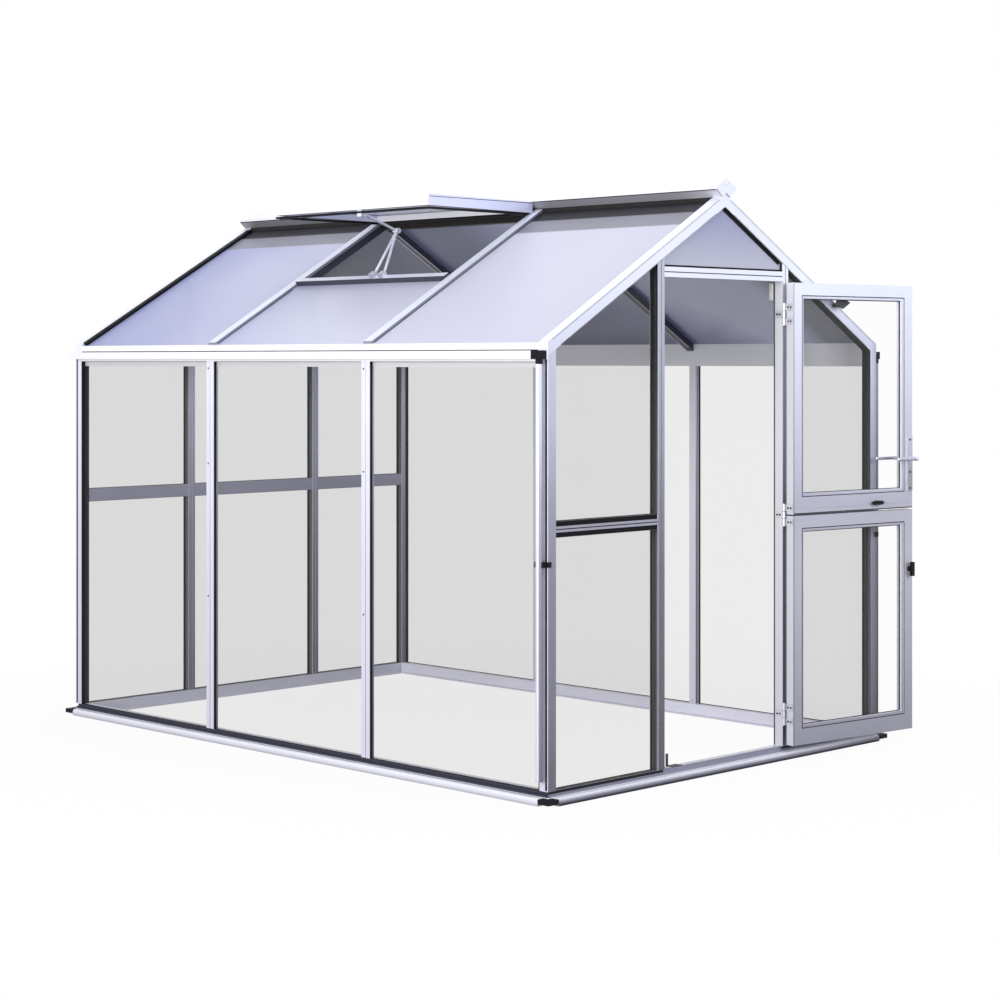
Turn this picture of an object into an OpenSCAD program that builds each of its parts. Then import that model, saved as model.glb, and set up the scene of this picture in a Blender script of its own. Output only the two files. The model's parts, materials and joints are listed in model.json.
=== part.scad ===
// A small aluminium greenhouse with glass walls, twin-wall roof sheets, a roof vent held open
// and a stable door whose two leaves are swung back against the front gable.
// The origin is the middle of the footprint on the ground, +Z is up and the door gable faces -Y.

/* [Overall] */
// Width across the corner posts
width = 2040; // [1700:2600]
// Length along the corner posts
length = 3026; // [2500:3900]
// Height of the roof plane above the side walls
eave_z = 1705; // [1600:2100]
// Height of the roof planes where they meet
ridge_z = 2300; // [2150:2700]

/* [Frame] */
// Side of a corner post
post = 42; // [36:60]
// Depth of the gable bars behind the gable face
bar_depth = 44; // [38:60]
// Rafter depth measured square to the roof
rafter_h = 46; // [40:60]
// Width of the caps on the side posts and roof bars
cap_w = 50; // [44:70]
// How far those caps stand out from the panes
cap_t = 12; // [8:14]
// Width of the inner box of the side posts and roof bars
box_w = 38; // [30:44]
// Face width of the door jambs and rear gable posts
jamb_w = 37; // [30:50]
// Depth of the side posts behind the wall line
box_d = 28; // [24:38]
// Height of the door header
rail_h = 40; // [32:50]
// Height of the midrails
midrail_h = 58; // [50:70]
// Middle height of the midrails
midrail_z = 1011; // [900:1100]
// Height of the nose along the middle of a midrail
midrail_nose = 22; // [16:30]
// How far a midrail is set back above and below its nose
midrail_set = 6; // [3:8]
// Width of the decorative grooves in the bars
groove_w = 4; // [2:6]
// Depth of those grooves
groove_d = 2; // [1:3]

/* [Base] */
// Height of the sill
sill_h = 50; // [44:56]
// Depth of the sill behind the wall line
sill_d = 44; // [42:60]
// How far the upper part of the sill is set back
sill_set = 8; // [5:10]
// Height of the slanted step above the nose
sill_step = 6; // [4:8]
// How far the rounded nose stands out
nose_out = 33; // [25:45]
// Height of the rounded nose
nose_h = 28; // [20:34]
// Length of the nose that a corner piece takes over
corner_len = 55; // [36:70]
// Height of the black corner pieces
corner_h = 18; // [12:22]
// Height of the lower face of the corner pieces
corner_z = 8; // [4:10]
// Width of the inner ground flange
flange_w = 30; // [26:40]
// Thickness of the inner ground flange
flange_t = 4; // [3:6]
// Distance of an anchor hole from the middle of the length
anchor_y = 1000; // [800:1100]
// Radius of an anchor hole
anchor_r = 4.5; // [3:6]

/* [Glazing] */
// Thickness of the wall glass
glass_t = 4; // [3:5]
// Thickness of the roof and gable sheets
sheet_t = 6; // [4:6]
// Depth of the outer face of the wall glass behind the wall line
glass_in = 14; // [14:18]
// How far a pane reaches into its bars
bite = 9; // [6:9]
// Distance up the slope from the roof's edge to the uncovered roof sheets
eave_cover = 12; // [10:24]
// Thickness of the eave rail's lip over the sheets
lip_t = 3; // [2:5]
// Height of the eave rail's flange behind the wall glass
flange_drop = 22; // [12:30]
// How far that flange reaches in from the wall line
flange_d = 26; // [22:32]
// Clearance around a pane in its pocket
pane_gap = 0.3; // [0.2:0.1:0.5]
// Thickness of the black glazing seals
seal_t = 1.2; // [1:0.1:4]
// How far the seals stay behind the faces of the bars
seal_set = 3; // [2:6]
// How far a post or bar cap reaches behind the outer face of the panes
cap_tuck = 2; // [1:3]

/* [Gutter] */
// Width of a gutter
gutter_w = 38; // [32:50]
// Height of a gutter
gutter_h = 30; // [24:40]
// Height of the gutter's lower face
gutter_z = 1640; // [1560:1650]
// Wall thickness of a gutter
gutter_t = 3; // [2:4]
// How far the eave rails reach below the gutters
rail_drop = 10; // [6:20]
// How far the gutters run past the rear gable
gutter_past = 2; // [0:60]
// Thickness of a gutter's closed end
gutter_end = 5; // [3:8]
// Distance of an outlet piece behind the front gable's face
outlet_in = 8; // [0:20]
// Length of an outlet piece at the front
outlet_len = 44; // [40:60]
// Distance of a downpipe's middle behind the front gable's face
pipe_in = 22; // [20:30]
// Diameter of a downpipe
pipe_d = 25; // [20:30]
// Height of a downpipe's open end above the ground
pipe_z = 90; // [60:150]
// Height of a pipe clip's lower face
clip_z = 874; // [700:1000]
// Height of a pipe clip
clip_h = 20; // [15:45]
// Thickness of a pipe clip's walls
clip_t = 4; // [3:6]
// How far a clip's hook reaches over the front of the post
clip_hook = 14; // [10:20]

/* [Ridge and vent] */
// Half width of the ridge cap
cap_half = 58; // [50:70]
// Height of the ridge cap's wings above the roof plane's peak
wing_up = 27; // [24:40]
// Thickness of a wing's edge
wing_t = 12; // [8:16]
// Half width of the foot of the ridge cap
foot_half = 24; // [18:28]
// Half width of the ridge beam
beam_half = 30; // [26:36]
// Gap between the roof sheets and the ridge beam
beam_gap = 0.4; // [0.2:0.1:1]
// Depth of the ridge beam below the peak
beam_h = 65; // [55:80]
// Distance up the slope to the lower edge of the vent trimmer
trimmer_s = 532; // [480:600]
// Width of the vent trimmer along the slope
trimmer_w = 30; // [24:36]
// How far the trimmer stands off the roof plane
trimmer_up = 12; // [4:16]
// Depth of the trimmer below the roof plane
trimmer_deep = 34; // [30:46]
// Length of the vent sash down the slope
sash_len = 612; // [580:640]
// Thickness of the vent sash
sash_t = 46; // [40:50]
// Width of the bars of the vent sash
sash_bar = 42; // [36:50]
// Distance of the sash's sides inside the middle lines of the roof bars
sash_side = 8; // [4:16]
// Depth of the vent sheet below the top of the sash
sash_pane_in = 14; // [8:20]
// How far the open sash is raised past level, in degrees
sash_tilt = 0.5; // [0:0.5:4]
// Place of the vent opener along the length
opener_y = -60; // [-200:200]
// How far the feet of the two lower arms stand apart
opener_feet = 60; // [40:100]
// Radius of the opener's arms
rod_r = 6; // [4:8]
// How far the opener's knee lies uphill of its feet
knee_x = 100; // [80:140]
// Height of the opener's knee above its feet
knee_up = 185; // [150:200]

/* [Door] */
// Clear width of the doorway
door_w = 738; // [650:820]
// Height of the header's underside
header_z = 1958; // [1900:1985]
// Clearance around the door leaves
door_gap = 6; // [5:8]
// Thickness of a door leaf
leaf_t = 38; // [34:40]
// Width of the stiles and top rail of a leaf
stile_w = 52; // [44:60]
// Height of the bottom rail of the upper leaf
lap_rail_h = 72; // [60:90]
// Height of the bottom rail of the lower leaf
kick_rail_h = 68; // [60:90]
// Height of the middle of the gap between the leaves
split_z = 1000; // [950:1050]
// How far the leaves stand open, in degrees from closed
open_deg = 173.5; // [90:0.5:175]
// Distance of the hinge axis in front of the gable
axis_out = 8; // [7.5:0.5:9]
// Radius of a hinge knuckle
knuckle_r = 7; // [6:0.5:7]
// Radius of a hinge pin
pin_r = 4; // [3:0.5:4.5]
// Running clearance around pins and spindles
run_gap = 0.2; // [0.1:0.05:0.3]
// Thickness of the hinge plates
plate_t = 2.5; // [2:0.5:3]
// Height of one hinge plate
plate_h = 29; // [24:34]
// Distance of the upper hinge below the header
hinge_down = 135; // [110:160]
// Distance of the lower hinge above the sill
hinge_up = 133; // [110:160]

/* [Door furniture] */
// Height of the lever's spindle
lever_z = 1214; // [1150:1300]
// Distance of the spindles from the free edge of a leaf
spindle_in = 21; // [20:30]
// Length of a lever's grip
grip_len = 112; // [90:130]
// How far a grip stands off its plate
grip_off = 37; // [35:50]
// Radius of a lever's grip
grip_r = 7; // [6:9]
// Radius of the neck between a lever and its plate
neck_r = 9; // [8:11]
// Radius of the spindles
spindle_r = 4; // [3:5]
// Thickness of the handle plates
rose_t = 6; // [4:8]
// Half width of the handle plates
rose_half = 16; // [14:18]
// How far a handle plate reaches above the spindle
rose_up = 93; // [80:110]
// How far a handle plate reaches below the spindle
rose_down = 138; // [110:150]
// Height of the lower leaf's knob
knob_z = 742; // [650:850]
// Distance of the middle latch from the hinge axis
latch_u = 505; // [400:600]
// Height of the middle latch above the split
latch_up = 33; // [30:45]
// Distance of the door catch from the middle of the gable
catch_x = 728; // [650:780]
// How far the door catch stands out from the gable
catch_out = 40; // [30:50]
// Distance of the sill bracket from the left jamb
bracket_x = 58; // [40:80]

/* [Hidden] */

// Directing lines of the frame
half = width / 2;
front = -length / 2;
back = length / 2;
slope = (ridge_z - eave_z) / half;
pitch = atan(slope);
slope_len = half / cos(pitch);
rafter_v = rafter_h / cos(pitch);
bay = length / 3;
bar_ys = [-bay / 2, bay / 2];
door_half = door_w / 2;
jamb_x = door_half + jamb_w / 2;
mid_lo = midrail_z - midrail_h / 2;
mid_hi = midrail_z + midrail_h / 2;
header_top = header_z + rail_h;
top_half = min(door_half, half - (header_top - eave_z + rafter_v) / slope - bite);
wall_top = gutter_z - rail_drop;
sheet_n = -cap_t;
lip_x = -half + eave_cover * cos(pitch);
pipe_x = -half - gutter_w + pipe_d / 2;
sash_half = bay / 2 - sash_side;
eps = 0.01;

// Door leaf measures, in the leaf's own frame: the hinge axis is at the origin and the closed
// leaf runs along -X with its outer face toward -Y
axis_x = door_half;
axis_y = front - axis_out;
leaf_w = door_w - 2 * door_gap;
leaf_near = -door_gap;
leaf_far = leaf_near - leaf_w;
face_out = axis_out;
face_in = axis_out + leaf_t;
upper_lo = split_z + door_gap / 2;
upper_hi = header_z - door_gap;
lower_lo = sill_h + door_gap + 1;
lower_hi = split_z - door_gap / 2;
spindle_x = leaf_far + spindle_in;
hinge_zs = [header_z - hinge_down, split_z, sill_h + hinge_up];

// Height of the underside of the gable rafters at x
function roof_under(x) = eave_z + slope * (half - abs(x)) - rafter_v;

// Outline of a rectangle grown by g on every side
function box_pts(x0, x1, z0, z1, g) =
    [[x0 - g, z0 - g], [x1 + g, z0 - g], [x1 + g, z1 + g], [x0 - g, z1 + g]];

// Outline of a gable opening below the rafters, grown by g on every side
function gable_pts(x0, x1, z0, g) = concat(
    [[x0 - g, z0 - g], [x1 + g, z0 - g], [x1 + g, roof_under(x1 + g) + g / cos(pitch)]],
    x0 * x1 < 0 ? [[0, roof_under(0) + g / cos(pitch)]] : [],
    [[x0 - g, roof_under(x0 - g) + g / cos(pitch)]]);

// Visible openings of the gables, of one side wall and of one roof slope, grown by g
function end_bay_pts(i, g) =
    i == 0 ? box_pts(-half + post, -door_half - jamb_w, sill_h, mid_lo, g)
    : i == 1 ? box_pts(door_half + jamb_w, half - post, sill_h, mid_lo, g)
    : i == 2 ? gable_pts(-half + post, -door_half - jamb_w, mid_hi, g)
    : gable_pts(door_half + jamb_w, half - post, mid_hi, g);
function mid_bay_pts(i, g) =
    i == 0 ? box_pts(-door_half, door_half, sill_h, mid_lo, g)
    : gable_pts(-door_half, door_half, mid_hi, g);
function top_pts(g) = gable_pts(-top_half, top_half, header_top, g);
function side_edge(i) = i == 0 ? front + bar_depth : i == 3 ? back - bar_depth : bar_ys[i - 1];
function side_lo(i) = side_edge(i) + (i == 0 ? 0 : box_w / 2);
function side_hi(i) = side_edge(i + 1) - (i == 2 ? 0 : box_w / 2);
function side_pts(i, g) = box_pts(side_lo(i), side_hi(i), sill_h, wall_top, g);
function roof_lo(i) = i == 0 ? front + bar_depth : bar_ys[i - 1] + box_w / 2;
function roof_hi(i) = i == 2 ? back - bar_depth : bar_ys[i] - box_w / 2;
function roof_pts(i, top, g) = box_pts(eave_cover, top, roof_lo(i), roof_hi(i), g);
function roof_top(side, i) =
    side < 0 && i == 1 ? trimmer_s : slope_len - (beam_half + beam_gap) / cos(pitch) - bite;

// A prism over an outline in x and z, from y0 to y1
module xz_prism(pts, y0, y1) {
    translate([0, y1, 0])
        rotate([90, 0, 0])
            linear_extrude(y1 - y0)
                polygon(pts);
}

// A prism over an outline in y and z, from x0 to x1
module yz_prism(pts, x0, x1) {
    translate([x0, 0, 0])
        rotate([90, 0, 90])
            linear_extrude(x1 - x0)
                polygon(pts);
}

// A plain box between two corners
module box(a, b) {
    translate(a)
        cube(b - a);
}

// Puts a piece on a roof slope: x runs up the slope from the eave, z stands off the roof
module on_slope(side) {
    if (side < 0) {
        translate([-half, 0, eave_z])
            rotate([0, -pitch, 0])
                children();
    } else {
        mirror([1, 0, 0])
            translate([-half, 0, eave_z])
                rotate([0, -pitch, 0])
                    children();
    }
}

// Copies a piece to both sides of the lengthwise middle plane
module both_sides() {
    children();
    mirror([1, 0, 0])
        children();
}

// Copies a piece to both ends
module both_ends() {
    children();
    mirror([0, 1, 0])
        children();
}

// Panes of the front gable, grown by g in their plane and by e through their thickness
module front_panes(g, e) {
    for (i = [0:3])
        xz_prism(end_bay_pts(i, bite + g), front + glass_in - e, front + glass_in + glass_t + e);
}

// Top sheet of the front gable
module top_panel(g, e) {
    xz_prism(top_pts(bite + g), front + glass_in - e, front + glass_in + sheet_t + e);
}

// Panes of the rear gable
module back_panes(g, e) {
    for (i = [0:3])
        xz_prism(end_bay_pts(i, bite + g), back - glass_in - glass_t - e, back - glass_in + e);
    for (i = [0:1])
        xz_prism(mid_bay_pts(i, bite + g), back - glass_in - glass_t - e, back - glass_in + e);
}

// Panes of the left side wall
module side_panes(g, e) {
    for (i = [0:2])
        yz_prism(side_pts(i, bite + g), -half + glass_in - e, -half + glass_in + glass_t + e);
}

// Sheets of one roof slope
module roof_panes(side, g, e) {
    on_slope(side)
        for (i = [0:2])
            translate([0, 0, sheet_n - sheet_t - e])
                linear_extrude(sheet_t + 2 * e)
                    polygon(roof_pts(i, roof_top(side, i), bite + g));
}

// Pockets for all wall panes
module wall_pockets() {
    front_panes(pane_gap, pane_gap);
    top_panel(pane_gap, pane_gap);
    back_panes(pane_gap, pane_gap);
    both_sides()
        side_panes(pane_gap, pane_gap);
}

// Pockets for all roof sheets
module roof_pockets() {
    for (side = [-1, 1])
        roof_panes(side, pane_gap, pane_gap);
}

// Sill section: the first axis runs outward from the wall line
module sill_block() {
    polygon([[-sill_d, 0], [0, 0], [0, nose_h + sill_step],
        [-sill_set, nose_h + 2 * sill_step], [-sill_set, sill_h], [-sill_d, sill_h]]);
    translate([-sill_d - flange_w, 0])
        square([flange_w + eps, flange_t]);
}

// Rounded nose of the sill
module sill_nose() {
    translate([-eps, 0])
        square([nose_out - nose_h / 2 + eps, nose_h]);
    square([nose_out, nose_h / 2]);
    translate([nose_out - nose_h / 2, nose_h / 2])
        circle(r = nose_h / 2, $fn = 48);
}

// One sill along x for a wall line at y = 0 that faces -Y, with mitred ends
module sill_run(len) {
    inner = sill_d + flange_w;
    intersection() {
        translate([-len / 2 - nose_out, 0, 0])
            rotate([90, 0, 90])
                linear_extrude(len + 2 * nose_out)
                    mirror([1, 0])
                        sill_block();
        translate([0, 0, -1])
            linear_extrude(sill_h + 2)
                polygon([[-len / 2, 0], [len / 2, 0], [len / 2 - inner, inner],
                    [-len / 2 + inner, inner]]);
    }
    translate([-len / 2 - nose_out + corner_len, 0, 0])
        rotate([90, 0, 90])
            linear_extrude(len + 2 * nose_out - 2 * corner_len)
                mirror([1, 0])
                    sill_nose();
}

module sill_front() {
    color([0.88, 0.88, 0.95])
        difference() {
            translate([0, front, 0])
                sill_run(width);
            front_panes(pane_gap, pane_gap);
        }
}

module sill_back() {
    color([0.88, 0.88, 0.95])
        difference() {
            mirror([0, 1, 0])
                translate([0, front, 0])
                    sill_run(width);
            back_panes(pane_gap, pane_gap);
        }
}

module sills_side() {
    color([0.88, 0.88, 0.95])
        both_sides()
            difference() {
                translate([-half, 0, 0])
                    rotate([0, 0, -90])
                        sill_run(length);
                side_panes(pane_gap, pane_gap);
                for (y = [-anchor_y, anchor_y])
                    translate([-half + sill_d + flange_w / 2, y, -1])
                        cylinder(h = flange_t + 2, r = anchor_r, $fn = 48);
            }
}

// Black plastic pieces that close the sill noses at the corners
module sill_corners() {
    reach = nose_out + 1;
    leg = corner_len - nose_out - pane_gap;
    color([0.06, 0.06, 0.07])
        both_sides()
            both_ends()
                translate([-half, front, corner_z])
                    linear_extrude(corner_h)
                        polygon([[-reach, -reach], [leg, -reach], [leg, -pane_gap],
                            [-pane_gap, -pane_gap], [-pane_gap, leg], [-reach, leg]]);
}

// Corner posts stand on the sill and end under the rafters
module corner_posts() {
    color([0.8, 0.81, 0.9])
        both_sides()
            both_ends()
                difference() {
                    xz_prism([[-half, sill_h], [-half + post, sill_h],
                        [-half + post, roof_under(-half + post)], [-half, roof_under(half)]],
                        front, front + bar_depth);
                    front_panes(pane_gap, pane_gap);
                    side_panes(pane_gap, pane_gap);
                }
}

// One wall post of the left side, with a cap that stands out from the panes
module side_post(y) {
    box([-half, y - cap_w / 2, sill_h], [-half + glass_in + cap_tuck, y + cap_w / 2, wall_top]);
    box([-half + glass_in, y - box_w / 2, sill_h], [-half + box_d, y + box_w / 2, wall_top]);
}

module side_posts() {
    color([0.9, 0.9, 0.95])
        both_sides()
            difference() {
                for (y = bar_ys)
                    side_post(y);
                side_panes(pane_gap, pane_gap);
                for (y = bar_ys)
                    box([-half - 1, y - groove_w / 2, sill_h - 1],
                        [-half + groove_d, y + groove_w / 2, wall_top + 1]);
            }
}

// Left eave rail, whose lip covers the lower edge of the roof sheets
module rail_body() {
    sheet_z = eave_z + sheet_n / cos(pitch);
    lip_z = sheet_z + lip_t / cos(pitch);
    xz_prism([[-half, wall_top], [-half, lip_z], [lip_x, lip_z + (lip_x + half) * slope],
        [lip_x, sheet_z + (lip_x + half) * slope], [-half + post, sheet_z + post * slope],
        [-half + post, wall_top]], front + bar_depth, back - bar_depth);
}

// Wall plates under the roof edges, with a flange that hangs down behind the glass
module eave_rails() {
    back_x = -half + glass_in + glass_t + pane_gap;
    color([0.92, 0.92, 0.97])
        both_sides()
            difference() {
                union() {
                    rail_body();
                    box([back_x, front + bar_depth, wall_top - flange_drop],
                        [-half + flange_d, back - bar_depth, wall_top + eps]);
                }
                side_panes(pane_gap, pane_gap);
                roof_panes(-1, pane_gap, pane_gap);
                for (y = bar_ys)
                    box([-half, y - box_w / 2, 0], [-half + post, y + box_w / 2, wall_top]);
            }
}

// Open box gutters with closed rear ends
module gutters() {
    top = gutter_z + gutter_h;
    start = front + outlet_in + outlet_len;
    end = back + gutter_past;
    color([0.95, 0.95, 0.99])
        both_sides()
            difference() {
                box([-half - gutter_w, start, gutter_z], [-half, end, top]);
                box([-half - gutter_w + gutter_t, start - 1, gutter_z + gutter_t],
                    [-half - gutter_t, end - gutter_end, top + 1]);
            }
}

// Black outlets that close the front ends of the gutters over the downpipes
module gutter_outlets() {
    start = front + outlet_in;
    color([0.06, 0.06, 0.07])
        both_sides()
            box([-half - gutter_w - 1, start, gutter_z - 1],
                [-half, start + outlet_len, gutter_z + gutter_h + 1]);
}

module downpipes() {
    color([0.88, 0.88, 0.94])
        both_sides()
            translate([pipe_x, front + pipe_in, pipe_z])
                cylinder(h = gutter_z - 1 - pipe_z, d = pipe_d, $fn = 48);
}

// Black clips that hold the pipes from behind and hook over the corner posts
module downpipe_clips() {
    top = clip_z + clip_h;
    pipe_y = front + pipe_in;
    color([0.06, 0.06, 0.07])
        both_sides()
            difference() {
                union() {
                    box([pipe_x, pipe_y - pipe_d / 2 - clip_t, clip_z],
                        [-half, pipe_y + pipe_d / 2 + 3 * clip_t, top]);
                    box([-half - clip_t, front - clip_t, clip_z], [-half, pipe_y, top]);
                    box([-half - clip_t, front - clip_t, clip_z], [-half + clip_hook, front, top]);
                }
                translate([pipe_x, pipe_y, clip_z - 1])
                    cylinder(h = clip_h + 2, r = pipe_d / 2 + pane_gap, $fn = 48);
            }
}

// Rafters of both gables, mitred at the ridge
module rafters() {
    color([0.93, 0.94, 0.98])
        both_ends()
            difference() {
                xz_prism([[-half, eave_z], [0, ridge_z], [half, eave_z],
                    [half, roof_under(half)], [0, roof_under(0)], [-half, roof_under(half)]],
                    front, front + bar_depth);
                front_panes(pane_gap, pane_gap);
                top_panel(pane_gap, pane_gap);
                back_panes(pane_gap, pane_gap);
                mirror([0, 1, 0])
                    back_panes(pane_gap, pane_gap);
                roof_pockets();
            }
}

// Glazing bars of the roof, two to a slope
module roof_bars() {
    color([0.93, 0.93, 0.98])
        difference() {
            for (side = [-1, 1])
                on_slope(side)
                    for (y = bar_ys) {
                        box([0, y - cap_w / 2, sheet_n - cap_tuck], [slope_len, y + cap_w / 2, 0]);
                        box([0, y - box_w / 2, -rafter_h], [slope_len, y + box_w / 2, -2]);
                    }
            roof_pockets();
            box([-beam_half - pane_gap, front, 0], [beam_half + pane_gap, back, ridge_z + 200]);
            both_sides() {
                rail_body();
                box([-half - post, front, 0], [lip_x, back, ridge_z]);
                box([-half, front, 0], [-half + post, back, wall_top + eps]);
            }
        }
}

module ridge_beam() {
    side_z = ridge_z - slope * beam_half;
    color([0.85, 0.85, 0.9])
        difference() {
            xz_prism([[-beam_half, side_z], [0, ridge_z], [beam_half, side_z],
                [beam_half, ridge_z - beam_h], [-beam_half, ridge_z - beam_h]],
                front + bar_depth, back - bar_depth);
            roof_pockets();
        }
}

// Section of the ridge cap: a low roof over two slanted sides
function cap_pts() = [
    [0, ridge_z + wing_up + cap_half * slope], [cap_half, ridge_z + wing_up],
    [cap_half, ridge_z + wing_up - wing_t], [foot_half, ridge_z - foot_half * slope],
    [0, ridge_z], [-foot_half, ridge_z - foot_half * slope],
    [-cap_half, ridge_z + wing_up - wing_t], [-cap_half, ridge_z + wing_up]];

module ridge_cap() {
    color([0.97, 0.97, 1.0])
        xz_prism(cap_pts(), front - 2, back + 2);
}

module ridge_end_plates() {
    color([0.9, 0.91, 0.97])
        both_ends()
            xz_prism(cap_pts(), front - 6, front - 2);
}

// Cross bar at the lower edge of the vent opening
module vent_trimmer() {
    color([0.9, 0.9, 0.95])
        difference() {
            on_slope(-1)
                box([trimmer_s, bar_ys[0] + box_w / 2, -trimmer_deep],
                    [trimmer_s + trimmer_w, bar_ys[1] - box_w / 2, trimmer_up]);
            roof_panes(-1, pane_gap, pane_gap);
            on_slope(-1)
                for (y = bar_ys)
                    box([0, y - cap_w / 2 - pane_gap, sheet_n - cap_tuck - pane_gap],
                        [slope_len, y + cap_w / 2 + pane_gap, 20]);
        }
}

// Puts a piece in the frame of the open sash: x runs from the hinge edge to the free edge
module on_sash() {
    translate([-cap_half - 0.3, 0, ridge_z - slope * (cap_half + 0.3) + 0.5])
        rotate([0, sash_tilt, 0])
            mirror([1, 0, 0])
                children();
}

// Sheet of the vent sash, grown by g on every side
module sash_sheet(g) {
    edge = sash_bar - bite - g;
    top = sash_t - sash_pane_in + g;
    box([edge, -sash_half + edge, top - sheet_t - 2 * g],
        [sash_len - edge, sash_half - edge, top]);
}

module vent_pane() {
    color([0.75, 0.76, 0.85, 0.6])
        on_sash()
            sash_sheet(0);
}

module vent_sash() {
    color([0.88, 0.89, 0.95])
        on_sash()
            difference() {
                box([0, -sash_half, 0], [sash_len, sash_half, sash_t]);
                box([sash_bar, -sash_half + sash_bar, -1],
                    [sash_len - sash_bar, sash_half - sash_bar, sash_t + 1]);
                sash_sheet(pane_gap);
            }
}

// A rod between two points
module rod(a, b, r) {
    d = b - a;
    translate(a)
        rotate([0, acos(d[2] / norm(d)), atan2(d[1], d[0])])
            cylinder(h = norm(d), r = r, $fn = 32);
}

// Automatic opener: two arms from the trimmer to a knee and one arm on to the sash
module vent_opener() {
    block = 14;
    mid_s = trimmer_s + trimmer_w / 2;
    foot_x = -half + mid_s * cos(pitch);
    foot_z = eave_z + mid_s * sin(pitch) + trimmer_up + block;
    knee = [foot_x + knee_x, opener_y, foot_z + knee_up];
    sash_s = sash_len - sash_bar / 2;
    sash_x = -cap_half - sash_s;
    sash_z = ridge_z - slope * cap_half + sash_s * sin(sash_tilt);
    color([0.55, 0.55, 0.6]) {
        for (side = [-1, 1]) {
            y = opener_y + side * opener_feet / 2;
            rod([foot_x, y, foot_z], knee, rod_r);
            on_slope(-1)
                box([mid_s - block, y - block, trimmer_up + pane_gap],
                    [mid_s + block, y + block, trimmer_up + 1.5 * block]);
        }
        rod(knee, [sash_x + rod_r, opener_y, sash_z - block], rod_r);
        translate([knee[0], opener_y + block, knee[2]])
            rotate([90, 0, 0])
                cylinder(h = 2 * block, r = 2 * rod_r, $fn = 32);
        on_sash()
            box([sash_s - block, opener_y - block, -2 * block],
                [sash_s + block, opener_y + block, -pane_gap]);
    }
}

// One gable post of the front at x, from the sill to the rafters
module gable_post(x) {
    xz_prism([[x - jamb_w / 2, sill_h], [x + jamb_w / 2, sill_h],
        [x + jamb_w / 2, roof_under(x + jamb_w / 2)], [x - jamb_w / 2, roof_under(x - jamb_w / 2)]],
        front, front + bar_depth);
}

// Grooves along the outer and inner face of a gable post
module post_groove(x) {
    for (y = [front, front + bar_depth])
        box([x - groove_w / 2, y - groove_d, sill_h - 1],
            [x + groove_w / 2, y + groove_d, ridge_z]);
}

module door_jambs() {
    color([0.82, 0.82, 0.9])
        both_sides()
            difference() {
                gable_post(-jamb_x);
                post_groove(-jamb_x);
                front_panes(pane_gap, pane_gap);
                top_panel(pane_gap, pane_gap);
            }
}

module rear_posts() {
    color([0.82, 0.82, 0.9])
        both_sides()
            difference() {
                mirror([0, 1, 0])
                    difference() {
                        gable_post(-jamb_x);
                        post_groove(-jamb_x);
                    }
                back_panes(pane_gap, pane_gap);
            }
}

// A level rail on the front gable with a groove along each face
module gable_rail(x0, x1, z0, h) {
    inner = front + bar_depth - groove_d;
    difference() {
        box([x0, front, z0], [x1, inner, z0 + h]);
        for (y = [front, inner])
            box([x0 - 1, y - groove_d, z0 + (h - groove_w) / 2],
                [x1 + 1, y + groove_d, z0 + (h + groove_w) / 2]);
    }
}

// A midrail on the front gable, set back above and below its nose
module midrail(x0, x1) {
    difference() {
        gable_rail(x0, x1, mid_lo, midrail_h);
        for (z = [mid_lo - 1, midrail_z + midrail_nose / 2])
            box([x0 - 1, front - 1, z],
                [x1 + 1, front + midrail_set, z + 1 + (midrail_h - midrail_nose) / 2]);
    }
}

module door_header() {
    color([0.9, 0.9, 0.97])
        difference() {
            intersection() {
                gable_rail(-door_half, door_half, header_z, rail_h);
                xz_prism([[-half, roof_under(half)], [0, roof_under(0)], [half, roof_under(half)]],
                    front, back);
            }
            top_panel(pane_gap, pane_gap);
        }
}

module midrails() {
    color([0.8, 0.8, 0.88])
        difference() {
            union() {
                both_sides()
                    both_ends()
                        midrail(-half + post, -door_half - jamb_w);
                mirror([0, 1, 0])
                    midrail(-door_half, door_half);
            }
            front_panes(pane_gap, pane_gap);
            back_panes(pane_gap, pane_gap);
        }
}

module glass_left() {
    color([0.85, 0.86, 0.86, 0.4])
        side_panes(0, 0);
}

module glass_right() {
    color([0.85, 0.86, 0.86, 0.4])
        mirror([1, 0, 0])
            side_panes(0, 0);
}

module glass_front() {
    color([0.85, 0.86, 0.86, 0.4])
        front_panes(0, 0);
}

module glass_back() {
    color([0.85, 0.86, 0.86, 0.4])
        back_panes(0, 0);
}

module gable_panel() {
    color([0.7, 0.7, 0.8, 0.8])
        top_panel(0, 0);
}

module roof_panels_left() {
    color([0.8, 0.8, 0.9, 0.7])
        roof_panes(-1, 0, 0);
}

module roof_panels_right() {
    color([0.8, 0.8, 0.9, 0.7])
        roof_panes(1, 0, 0);
}

// Black strips that line an opening, given its outline and the outline inset by the strip
module xz_ring(outer, inner, y0, y1) {
    difference() {
        xz_prism(outer, y0, y1);
        xz_prism(inner, y0 - 1, y1 + 1);
    }
}

// Strips in front of and behind one gable pane
module gable_seal(outer, inner, t) {
    xz_ring(outer, inner, front + seal_set, front + glass_in - pane_gap);
    xz_ring(outer, inner, front + glass_in + t + pane_gap, front + bar_depth - seal_set);
}

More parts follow.
